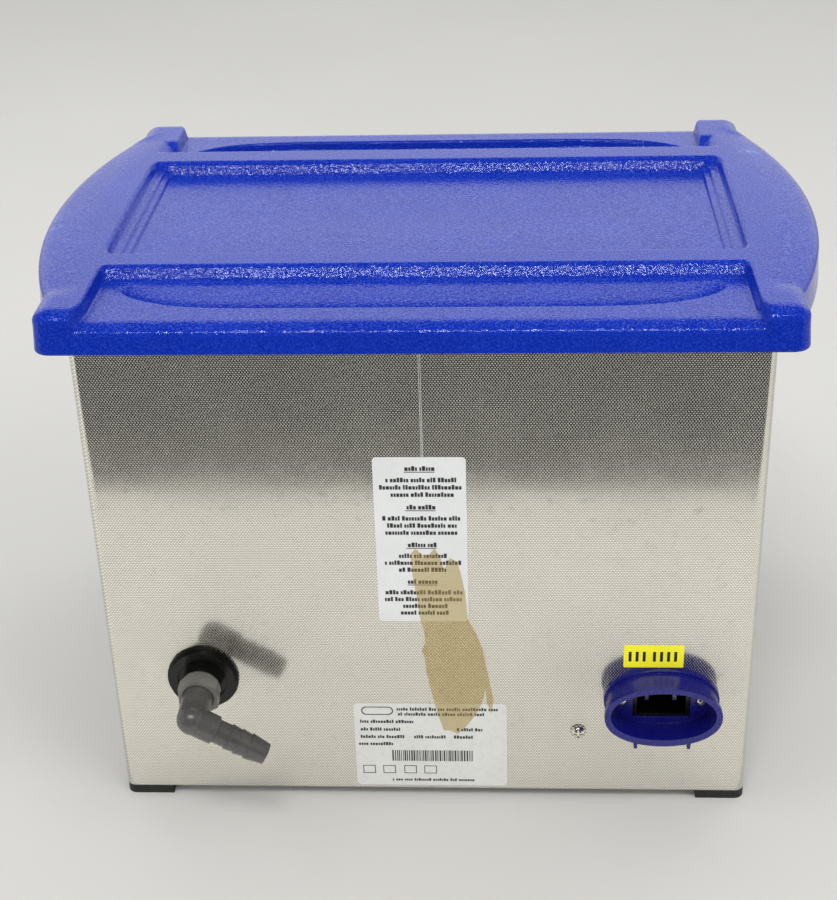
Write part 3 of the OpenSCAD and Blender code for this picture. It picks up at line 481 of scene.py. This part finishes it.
GRIP_TIP, GRIP_TIP_SLOPE, GRIP_RISE = 141, 3.5, 1.8
PANEL_SAG, PANEL_HALF_X, PANEL_HALF_Y = 0.5, 156, 50
RECESS_SHIFT = 1.7
RECESS_STEPS = [(155.2, 67.2, 4.5, 4.4, 2.6), (148.8, 64.6, 3.5, 1.4, 1.0), (145.4, 62.6, 3.0, 1.6, 1.1)]
RECESS_STRETCH = 2.8


def ease(t):
    t = np.clip(t, 0, 1)
    return t * t * (3 - 2 * t)


def flare(ay, most, start, length):
    """How far an arm's foot has moved outwards, towards the end of the arm."""
    return most * ease((ay - start) / length)


def rounded(past_x, past_y, radius):
    """How far inside a rounded corner a point lies, from how far it lies past the corner's centre."""
    beyond = np.hypot(np.maximum(past_x, 0), np.maximum(past_y, 0))
    return radius - beyond - np.minimum(np.maximum(past_x, past_y), 0)


def inside_box(x, y, half_x, half_y, radius):
    return rounded(np.abs(x) - half_x + radius, np.abs(y) - half_y + radius, radius)


def arm_half(y):
    """Half the width across the arms: the rear pair stands out a little further than the front pair."""
    return np.where(y > 0, ARM_NEAR, ARM_FAR)


def inside_lid(x, y, inset):
    """The distance in from the lid's outline: four arms, and two wings with arched edges."""
    arms = inside_box(x, y, arm_half(y) - inset, LID_HALF_DEPTH - inset, LID_CORNER)
    wings = WING_RADIUS - inset - np.hypot(np.abs(x) + WING_CENTRE, y)
    return np.maximum(arms, np.where(np.abs(y) < WING_HALF_DEPTH, wings, -99))


def half_width(y, inset):
    """Half the lid's width at y."""
    past = np.maximum(np.abs(y) - (LID_HALF_DEPTH - inset - LID_CORNER), 0)
    arms = arm_half(y) - inset - LID_CORNER + np.sqrt(np.maximum(LID_CORNER**2 - past**2, 0))
    wings = np.sqrt((WING_RADIUS - inset) ** 2 - y**2) - WING_CENTRE
    return np.maximum(arms, np.where(np.abs(y) < WING_HALF_DEPTH, wings, 0))


def ledge_depth(x, y):
    """From 0 on the arms and bars to 1 on the ledges; by the front bar a pocket runs out into each arm."""
    ax, ay = np.abs(x), np.abs(y)
    rear_foot = REAR_ARM_FOOT + flare(ay, *REAR_FOOT_FLARE)
    front_foot = FRONT_ARM_FOOT + flare(ay, *FRONT_FOOT_FLARE)
    foot = np.where(y > 0, rear_foot, front_foot)
    past_arm = (foot + ARM_WALL - ax) / ARM_WALL
    past_bar = (ay - np.where(y > 0, BAR_REAR, BAR_FRONT)) / BAR_WALL
    ledge = ease(rounded(LEDGE_CORNER - past_arm, LEDGE_CORNER - past_bar, LEDGE_CORNER))
    inside_pocket = np.minimum((POCKET_FAR - ay) / POCKET_SLOPE_Y, (POCKET_HALF - ax) / POCKET_SLOPE_X)
    pocket = ease(np.minimum(inside_pocket, past_bar)) * (y < 0)
    return np.maximum(ledge, pocket)


def grip_depth(x, y):
    """The finger recess: a slope down from the cross bar, ever steeper, then a sharp rise to the ledge."""
    ax, ay = np.abs(x), np.abs(y)
    far = np.where(y > 0, GRIP_REAR, GRIP_FRONT) - GRIP_NARROWS * (ax / GRIP_HALF) ** 8
    width = np.maximum(far - GRIP_START, 0.01)
    across = (ay - GRIP_START) / width
    down = GRIP_DIP * (0.2 * ease(across / 0.6) + 0.8 * np.clip(across, 0, 1) ** 4)
    rise = ease((1 - across) / np.minimum(GRIP_RISE / width, 0.3))
    inside = (across > 0) * (across < 1)
    tip = ease((GRIP_TIP - ax) / GRIP_TIP_SLOPE) * np.clip(width / 10, 0, 1)
    return down * rise * inside * tip


def lid_height(x, y, inset):
    """The height of the lid's upper face."""
    ax, ay = np.abs(x), np.abs(y)
    height = LID_HIGH - LEDGE_DROP * ledge_depth(x, y) - grip_depth(x, y)
    for half_x, half_y, corner, drop, slope in RECESS_STEPS:
        past_y = (np.abs(y + RECESS_SHIFT) - half_y) / RECESS_STRETCH + corner
        height -= drop * ease(rounded(ax - half_x + corner, past_y, corner) / slope)
    across_panel = np.cos(np.minimum(ax / PANEL_HALF_X, 1) * math.pi / 2)
    height -= PANEL_SAG * across_panel * ease((PANEL_HALF_Y - ay) / PANEL_HALF_Y)
    edge = np.maximum(inside_lid(x, y, inset), 0)
    out_on_wing = ease((ax - 150) / 14) * ease((118 - ay) / 16)
    height -= WING_FALL * out_on_wing * np.maximum(1 - edge / WING_FALL_WIDTH, 0) ** 2
    at_end = ease((ay - 104) / 14)
    wide = SIDE_ROUND + (END_ROUND - SIDE_ROUND) * at_end
    fall = SIDE_FALL + (END_FALL - SIDE_FALL) * at_end
    lean = 1 - np.minimum(edge, wide) / wide
    return height - fall + fall * np.sqrt(1 - lean**2)


def steps(*stops):
    """Grid lines from stop to stop, each stop a place and the spacing up to it."""
    lines = [stops[0][0]]
    for place, spacing in stops[1:]:
        count = max(1, round((place - lines[-1]) / spacing))
        lines += list(np.linspace(lines[-1], place, count + 1)[1:])
    return lines


def mirrored(lines):
    return np.array([-v for v in reversed(lines[1:])] + list(lines))


def lid_grid(inset):
    """Rows and columns of the lid's upper face; the outer columns follow its curved edge."""
    rim = [8.6, 7.2, 5.9, 4.7, 3.6, 2.7, 1.9, 1.2, 0.7, 0.3, 0.1, 0.0]
    depth = LID_HALF_DEPTH - inset
    rows = steps((0, 0), (47, 3), (70, 0.6), (77, 1.4), (88, 0.6), (105, 1.2), (118, 0.6), (depth - 9.6, 1.1))
    rows += [depth - v for v in rim]
    core = steps((0, 0), (118, 1.8), (137, 1.2), (153, 0.55))
    y = mirrored(rows)
    edge = half_width(y, inset)
    shared = np.linspace(0, 1, 27)[1:]
    outer = [core[-1] + (edge - rim[0] - core[-1]) * t for t in shared] + [edge - v for v in rim[1:]]
    right = np.stack([np.full_like(y, v) for v in core] + outer, axis=1)
    x = np.concatenate([-right[:, :0:-1], right], axis=1)
    return x, np.repeat(y[:, None], x.shape[1], axis=1)


def perimeter(rows, cols):
    """Indices round the edge of a grid, once, anticlockwise seen from above."""
    front = [(0, c) for c in range(cols)]
    right = [(r, cols - 1) for r in range(1, rows)]
    back = [(rows - 1, c) for c in range(cols - 2, -1, -1)]
    left = [(r, 0) for r in range(rows - 2, 0, -1)]
    return [r * cols + c for r, c in front + right + back + left]


def make_lid():
    """The lid's moulded sheet: upper face, drafted skirt and the thickness under both."""
    x, y = lid_grid(DRAFT)
    z = lid_height(x, y, DRAFT)
    rows, cols = x.shape
    points = np.stack([x.ravel(), y.ravel(), z.ravel()], axis=1)
    faces = [
        [r * cols + c, r * cols + c + 1, (r + 1) * cols + c + 1, (r + 1) * cols + c]
        for r in range(rows - 1)
        for c in range(cols - 1)
    ]
    ring = perimeter(rows, cols)
    rim = points[ring]
    before, after = np.roll(rim, 1, axis=0), np.roll(rim, -1, axis=0)
    run = (after - before)[:, :2]
    outward = np.stack([run[:, 1], -run[:, 0]], axis=1)
    outward /= np.maximum(np.linalg.norm(outward, axis=1, keepdims=True), 1e-9)
    levels = [(0.25, 0.12), (0.55, 0.45), (0.85, 0.8), (0.96, 0.98), (1.0, 0.7)]
    last, count, total = ring, len(ring), len(points)
    extra = []
    for fall, out in levels:
        level = rim.copy()
        level[:, 2] = rim[:, 2] + (LID_LOW - rim[:, 2]) * fall
        level[:, :2] += outward * DRAFT * out
        extra.append(level)
        ids = list(range(total, total + count))
        total += count
        for i in range(count):
            j = (i + 1) % count
            faces.append([last[j], last[i], ids[i], ids[j]])
        last = ids
    lid = mesh_object("lid_cover", np.concatenate([points] + extra), faces)
    closing = lid.modifiers.new("sheet", "SOLIDIFY")
    closing.thickness = SHEET_THICKNESS * MM
    closing.offset = -1
    dress(lid, "lid", LOOKS["blue_plastic"])
    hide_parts("lid")
    return lid


def rounded_loop(half_x, half_y, radius, per_corner=8):
    """Points round a rounded rectangle, anticlockwise."""
    loop = []
    for quarter, (sx, sy) in enumerate(((1, 1), (-1, 1), (-1, -1), (1, -1))):
        for i in range(per_corner + 1):
            angle = math.radians(90) * (quarter + i / per_corner)
            loop.append((
                sx * (half_x - radius) + radius * math.cos(angle),
                sy * (half_y - radius) + radius * math.sin(angle),
            ))
    return loop


def make_lid_rib():
    """The rib under the lid that stands on the tank's rim and keeps the steam in."""
    low, high, thick = 267.1, 276.0, 3
    half_x, half_y, corner = 163, 127, 8
    outer = rounded_loop(half_x, half_y, corner)
    inner = rounded_loop(half_x - thick, half_y - thick, corner - thick)
    n = len(outer)
    points = [(x, y, z) for z in (low, high) for x, y in outer]
    points += [(x, y, z) for z in (low, high) for x, y in inner]
    faces = []
    for i in range(n):
        j = (i + 1) % n
        faces.append([i, j, n + j, n + i])
        faces.append([2 * n + j, 2 * n + i, 3 * n + i, 3 * n + j])
        faces.append([j, i, 2 * n + i, 2 * n + j])
        faces.append([n + i, n + j, 3 * n + j, 3 * n + i])
    rib = closed(mesh_object("lid_rib", points, faces, smooth=False))
    dress(rib, "lid", LOOKS["blue_plastic"])
    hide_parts("lid")


# ---------------------------------------------------------------- labels

INK_DEPTH = 0.04
GROUP_LINES = [(0.79, 0.90, 0.73), (0.86, 0.78, 0.79), (0.55, 0.86, 0.53), (0.88, 0.86, 0.54, 0.56)]
LETTER_GAP, WORD_GAP = 0.32, 1.1


def blind_line(points, faces, x_left, width, z, size, face_y):
    """A line of blank word shapes: small blocks where a printed line would be."""
    x = x_left
    while x < x_left + width - size * 0.4:
        for _ in range(DICE.randint(3, 9)):
            letter = size * DICE.uniform(0.45, 0.85)
            if x + letter > x_left + width:
                break
            top = size * (1.35 if DICE.random() < 0.28 else 1.0)
            slab(points, faces, outline_box(x, z, x + letter, z + top), face_y, face_y + INK_DEPTH)
            x += letter + LETTER_GAP
        x += WORD_GAP - LETTER_GAP


def centred(points, faces, centre, width, z, size, face_y):
    blind_line(points, faces, centre - width / 2, width, z, size, face_y)


def label_box(node):
    low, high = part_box(node)
    return low / MM, high / MM


def print_notice():
    """Four short blocks, each a ruled heading over its lines, all blank shapes."""
    low, high = label_box("notice_label")
    wide, centre, face = high.x - low.x, (low.x + high.x) / 2, high.y
    points, faces = [], []
    z = high.z - 7.3
    for lines in GROUP_LINES:
        centred(points, faces, centre, wide * 0.33, z, 1.9, face)
        rule = outline_box(centre - wide * 0.165, z - 0.9, centre + wide * 0.165, z - 0.5)
        slab(points, faces, rule, face, face + INK_DEPTH)
        z -= 6.2
        for share in lines:
            centred(points, faces, centre, wide * share, z, 1.85, face)
            z -= 4.0
        z -= 3.0
    dress(closed(mesh_object("notice_print", points, faces, False)), "cleaner", INK)


def frame_at(points, faces, x0, z0, x1, z1, face, line=0.4):
    """A thin printed rectangle."""
    for part in (
        outline_box(x0, z0, x1, z0 + line),
        outline_box(x0, z1 - line, x1, z1),
        outline_box(x0, z0 + line, x0 + line, z1 - line),
        outline_box(x1 - line, z0 + line, x1, z1 - line),
    ):
        slab(points, faces, part, face, face + INK_DEPTH)


def print_rating():
    """Blank shapes in the places of a rating plate's lines, and plain upright bars."""
    low, high = label_box("rating_plate")
    face = high.y
    points, faces = [], []

    def row(from_left, width, from_top, size=1.5):
        x1 = high.x - from_left
        blind_line(points, faces, x1 - width, width, high.z - from_top, size, face)

    row(22, 52, 4.4)
    row(22, 45, 7.6)
    row(1.6, 29, 12.4)
    row(1.6, 22, 17.4)
    row(52, 14, 17.4)
    row(1.6, 24, 22.2)
    row(30, 17, 22.2)
    row(51, 10, 22.2)
    row(1.6, 18, 26.8)
    row(18.5, 43, 50.2, 1.3)
    x = high.x - 19
    while x > high.x - 61:
        bar = DICE.choice((0.35, 0.55, 0.8))
        slab(points, faces, outline_box(x - bar, high.z - 37.0, x, high.z - 30.0), face, face + INK_DEPTH)
        x -= bar + DICE.choice((0.4, 0.6))
    for x1 in (high.x - 3.5, high.x - 14, high.x - 25, high.x - 35.5):
        frame_at(points, faces, x1 - 6.5, high.z - 45.2, x1, high.z - 40.0, face)
    badge = rounded_loop(8.2, 2.6, 2.59)
    cx, cz = high.x - 12.2, high.z - 4.6
    outer = [(cx + x, cz + z) for x, z in badge]
    inner = [(cx + x * 0.93, cz + z * 0.8) for x, z in badge]
    for i in range(len(outer)):
        j = (i + 1) % len(outer)
        if math.dist(outer[i], outer[j]) > 1e-6:
            slab(points, faces, [outer[i], outer[j], inner[j], inner[i]], face, face + INK_DEPTH)
    dress(closed(mesh_object("rating_print", points, faces, False)), "cleaner", INK)


def print_voltage():
    low, high = label_box("voltage_label")
    points, faces = [], []
    x = high.x - 2.4
    for count in (3, 4):
        for _ in range(count):
            block = outline_box(x - 1.5, low.z + 3.6, x, high.z - 3.7)
            slab(points, faces, block, high.y, high.y + INK_DEPTH)
            x -= 3.5
        x -= 1.6
    dress(closed(mesh_object("voltage_print", points, faces, False)), "cleaner", INK)


TAPE_OUTLINE = [
    (7.0, 150.5), (4.5, 153.4), (1.5, 150.2), (-1.5, 149.4), (-4.6, 153.6), (-7.0, 149.5),
    (-9.2, 141.5), (-12.0, 148.2), (-15.5, 146.2), (-17.2, 139.0), (-19.2, 128.0), (-20.4, 111.5),
    (-24.0, 104.0), (-27.4, 94.0), (-29.0, 84.0), (-30.6, 74.0), (-32.6, 62.0), (-31.4, 54.5),
    (-29.2, 61.0), (-28.6, 69.0), (-26.6, 60.5), (-23.4, 53.5), (-20.6, 49.0), (-17.0, 44.0),
    (-14.0, 41.0), (-9.8, 43.4), (-7.0, 43.2), (-4.4, 52.0), (-2.2, 62.0), (0.8, 78.0),
    (1.8, 88.5), (3.0, 93.0), (1.2, 98.0), (1.6, 104.0), (3.2, 112.0), (4.6, 125.0), (6.4, 138.0),
]


def make_tape():
    """The torn remnant of packing tape across both labels, with the folds it dried in."""
    step = 2.0
    shape = bmesh.new()
    loop = [shape.verts.new((x, 0, z)) for x, z in TAPE_OUTLINE]
    shape.faces.new(loop)
    for value in np.arange(-33, 8, step):
        geometry = shape.verts[:] + shape.edges[:] + shape.faces[:]
        bmesh.ops.bisect_plane(shape, geom=geometry, plane_co=(value, 0, 0), plane_no=(1, 0, 0))
    for value in np.arange(41, 154, step):
        geometry = shape.verts[:] + shape.edges[:] + shape.faces[:]
        bmesh.ops.bisect_plane(shape, geom=geometry, plane_co=(0, 0, value), plane_no=(0, 0, 1))
    bmesh.ops.triangulate(shape, faces=shape.faces[:])
    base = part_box("notice_label")[1].y / MM + 0.08
    for vert in shape.verts:
        x, z = vert.co.x, vert.co.z
        off_fold = (x + 12.0 + 0.05 * (z - 90)) / 1.5
        fold = math.exp(-(off_fold**2)) * ease((z - 44) / 18) * ease((134 - z) / 30)
        ripple = 0.10 * math.sin(x * 1.1 + z * 0.13) * math.sin(z * 0.21)
        vert.co.y = base + 0.55 * float(fold) + 0.10 + ripple
    mesh = bpy.data.meshes.new("tape_remnant")
    shape.to_mesh(mesh)
    shape.free()
    mesh.transform(Matrix.Scale(MM, 4))
    mesh.shade_smooth()
    tape = bpy.data.objects.new("tape_remnant", mesh)
    bpy.context.scene.collection.objects.link(tape)
    thick = tape.modifiers.new("film", "SOLIDIFY")
    thick.thickness = 0.05 * MM
    dress(tape, "cleaner", TAPE)


def make_seam_bead():
    """The pale bead that stands along the seam at the middle of the rear panel."""
    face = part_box("housing_shell")[1].y / MM
    top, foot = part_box("housing_shell")[1].z / MM, label_box("notice_label")[1].z
    profile = [(0.55, -0.3), (0.55, 0.1), (0.25, 0.3), (-0.25, 0.3), (-0.55, 0.1), (-0.55, -0.3)]
    n = len(profile)
    points = [(x, face + y, z) for z in (foot, top) for x, y in profile]
    faces = [[i, (i + 1) % n, n + (i + 1) % n, n + i] for i in range(n)]
    faces += [list(range(n - 1, -1, -1)), list(range(n, 2 * n))]
    bead = closed(mesh_object("seam_bead", points, faces, False))
    dress(bead, "cleaner", LOOKS["zinc"])


# ---------------------------------------------------------------- control panel

DIAL_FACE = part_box("panel_foil")[0].y / MM


def number(text, x, z, size):
    """A dial number as a thin raised print, read from the front."""
    curve = bpy.data.curves.new("dial_number", "FONT")
    curve.body = text
    curve.size = size * MM
    curve.extrude = INK_DEPTH * MM
    curve.align_x = "CENTER"
    curve.align_y = "CENTER"
    curve.resolution_u = 2
    holder = bpy.data.objects.new("dial_number", curve)
    bpy.context.scene.collection.objects.link(holder)
    bpy.context.view_layer.update()
    mesh = bpy.data.meshes.new_from_object(holder.evaluated_get(bpy.context.evaluated_depsgraph_get()))
    bpy.data.objects.remove(holder)
    mesh.transform(Matrix.Rotation(math.radians(90), 4, "X"))
    mesh.transform(Matrix.Translation((x * MM, DIAL_FACE * MM, z * MM)))
    return mesh


def make_dial(name, knob, first, last, marks, values):
    """A knob's scale: fine ticks round it, and numbers outside them."""
    low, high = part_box(knob)
    cx, cz = (low.x + high.x) / 2 / MM, (low.z + high.z) / 2 / MM
    points, faces = [], []
    for i in range(marks):
        angle = math.radians(first + (last - first) * i / (marks - 1))
        major = i % ((marks - 1) // (len(values) - 1)) == 0
        inner, outer, half = 23.6, 26.6 if major else 25.2, 0.3 if major else 0.18
        ray, side = (math.sin(angle), math.cos(angle)), (math.cos(angle), -math.sin(angle))
        tick = [
            (cx + ray[0] * r + side[0] * s, cz + ray[1] * r + side[1] * s)
            for r, s in ((inner, -half), (outer, -half), (outer, half), (inner, half))
        ]
        slab(points, faces, tick, DIAL_FACE - INK_DEPTH, DIAL_FACE)
    ticks = closed(mesh_object(name, points, faces, False))
    whole = bmesh.new()
    whole.from_mesh(ticks.data)
    for i, value in enumerate(values):
        angle = math.radians(first + (last - first) * i / (len(values) - 1))
        text = number(value, cx + 30.2 * math.sin(angle), cz + 30.2 * math.cos(angle), 4.6)
        whole.from_mesh(text)
    whole.to_mesh(ticks.data)
    whole.free()
    dress(ticks, "cleaner", PALE_INK)


def make_panel_rules():
    """Fine printed rules round the two keys and the lamps."""
    low, high = label_box("panel_foil")
    points, faces = [], []
    x0, x1, z0, z1, line = low.x + 3, high.x - 3, low.z + 3, high.z - 3.4, 0.4
    strips = [outline_box(x0, z, x1, z + line) for z in (z0, z1)]
    strips += [outline_box(x, z0 + line, x + line, high.z - 3.4) for x in (x0, x1 - line)]
    for centre in (-24, 24):
        strips.append(outline_box(centre - 9, 53.2, centre + 9, 53.6))
        strips.append(outline_box(centre - 0.2, 53.6, centre + 0.2, 57.6))
    for strip in strips:
        slab(points, faces, strip, DIAL_FACE - INK_DEPTH, DIAL_FACE)
    dress(closed(mesh_object("panel_rules", points, faces, False)), "cleaner", PALE_INK)


def make_pointer(name, knob, body):
    """The white line on a knob's cap that shows its setting."""
    low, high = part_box(knob)
    cx, cz, face = (low.x + high.x) / 2 / MM, (low.z + high.z) / 2 / MM, low.y / MM
    points, faces = [], []
    slab(points, faces, outline_box(cx - 0.7, cz + 4, cx + 0.7, cz + 13), face, face + 0.15)
    dress(closed(mesh_object(name, points, faces, False)), body, LOOKS["label_white"])


# ---------------------------------------------------------------- studio


def stage_plane(name, corners, material, only_reflected=False):
    """A flat sheet of the studio. One that is only reflected shapes what gloss and steel mirror."""
    mesh = bpy.data.meshes.new(name)
    mesh.from_pydata(corners, [], [(0, 1, 2, 3)])
    mesh.materials.append(material)
    plane = bpy.data.objects.new(name, mesh)
    bpy.context.scene.collection.objects.link(plane)
    if only_reflected:
        plane.visible_camera = False
        plane.visible_diffuse = False
        plane.visible_shadow = False
        plane.visible_transmission = False
    return plane


def level(x0, y0, x1, y1, z):
    """Corners of a level rectangle."""
    return [(x0, y0, z), (x1, y0, z), (x1, y1, z), (x0, y1, z)]


def upright(start, end, low, high):
    """Corners of an upright rectangle over a line on the floor."""
    return [(*start, low), (*end, low), (*end, high), (*start, high)]


def soft_light(name, place, aim, size, power, colour):
    data = bpy.data.lights.new(name, "AREA")
    data.shape = "RECTANGLE"
    data.size, data.size_y = size
    data.energy = power
    data.color = colour
    light = bpy.data.objects.new(name, data)
    bpy.context.scene.collection.objects.link(light)
    light.location = place
    light.rotation_euler = (Vector(aim) - Vector(place)).to_track_quat("-Z", "Y").to_euler()
    return light


def build_room():
    """A pale table, the pale wall beyond it, the dark room behind the camera that the steel mirrors, and a
    paler strip of floor that only reflections see: a painted pool of light.
    """
    table = Shade("table", (0.61, 0.61, 0.60), 0.6, specular=0.0)
    table.colours(table.noise(400, 3), 0.3, 0.7, (0.60, 0.60, 0.588), (0.622, 0.622, 0.61))
    # A paler strip of floor seen only in reflections: a painted pool of light for the steel to mirror.
    mirrored_light_patch = Shade("bright_table", (0.84, 0.83, 0.79), 0.6, specular=0.0)
    dark = Shade("dark_room", (0.046, 0.048, 0.051), 0.9, specular=0.0)
    pale = Shade("pale_wall", (0, 0, 0), 1.0, specular=0.0)
    pale.shader.inputs["Emission Color"].default_value = (1.0, 0.99, 0.95, 1)
    pale.shader.inputs["Emission Strength"].default_value = 1.0
    far, wide, near, house, ceiling = 4.0, 3, 0.44, 0.128, 2.2
    stage_plane("floor", level(-far, -far, far, far, 0), table.material)
    stage_plane("bright_floor", level(-1.2, house, 1.2, near, 0.002), mirrored_light_patch.material, True)
    stage_plane("dark_floor", level(-wide, near, wide, wide, 0.004), dark.material, True)
    stage_plane("dark_ceiling", level(-wide, -1.5, wide, wide, ceiling), dark.material, True)
    stage_plane("pale_wall", upright((-wide, -2.4), (wide, -2.4), 0.2, 2.6), pale.material, True)
    stage_plane("dark_wall", upright((-wide, wide), (wide, wide), 0, ceiling), dark.material, True)


def light_room():
    """Even light from all round; the narrow lamp is only mirrored, as the sparkle along the lid's walls."""
    world = bpy.data.worlds.new("studio")
    world.use_nodes = True
    background = world.node_tree.nodes["Background"]
    background.inputs[0].default_value = (1.0, 0.99, 0.97, 1)
    background.inputs[1].default_value = 0.72
    bpy.context.scene.world = world
    target = (0, 0, 0.15)
    lamp = soft_light("lamp", (0.1, 1.30, 1.9), target, (1.3, 0.04), 21, (1, 0.98, 0.94))
    lamp.visible_diffuse = False
    for light in (
        soft_light("key", (-1.2, 0.9, 1.6), target, (1.2, 1.0), 12, (1, 0.985, 0.96)),
        soft_light("fill", (1.5, 0.2, 1.5), target, (1.4, 1.2), 8, (1, 1, 1)),
        soft_light("top", (0.1, 1.2, 2.1), target, (0.5, 0.35), 10, (1, 0.99, 0.97)),
        soft_light("front", (0.2, 2.4, 0.5), target, (1.6, 0.8), 5.5, (1, 0.99, 0.97)),
        soft_light("behind", (0.0, -0.5, 1.5), (0, -1.2, 0), (1.6, 0.5), 5.5, (1, 1, 1)),
    ):
        light.visible_glossy = False
    bpy.context.scene.view_settings.view_transform = "Standard"


# ---------------------------------------------------------------- build

finish_cad_nodes()
make_lid()
make_lid_rib()
print_notice()
print_rating()
print_voltage()
make_tape()
make_seam_bead()
make_dial("timer_scale", "timer_knob", 0, 300, 31, ["0", "5", "10", "15", "20", "25", "30"])
make_dial("temperature_scale", "temperature_knob", -135, 135, 31, ["0", "30", "40", "50", "60", "70", "80"])
make_panel_rules()
make_pointer("timer_pointer", "timer_knob", "timer")
make_pointer("temperature_pointer", "temperature_knob", "temperature")
build_room()
light_room()
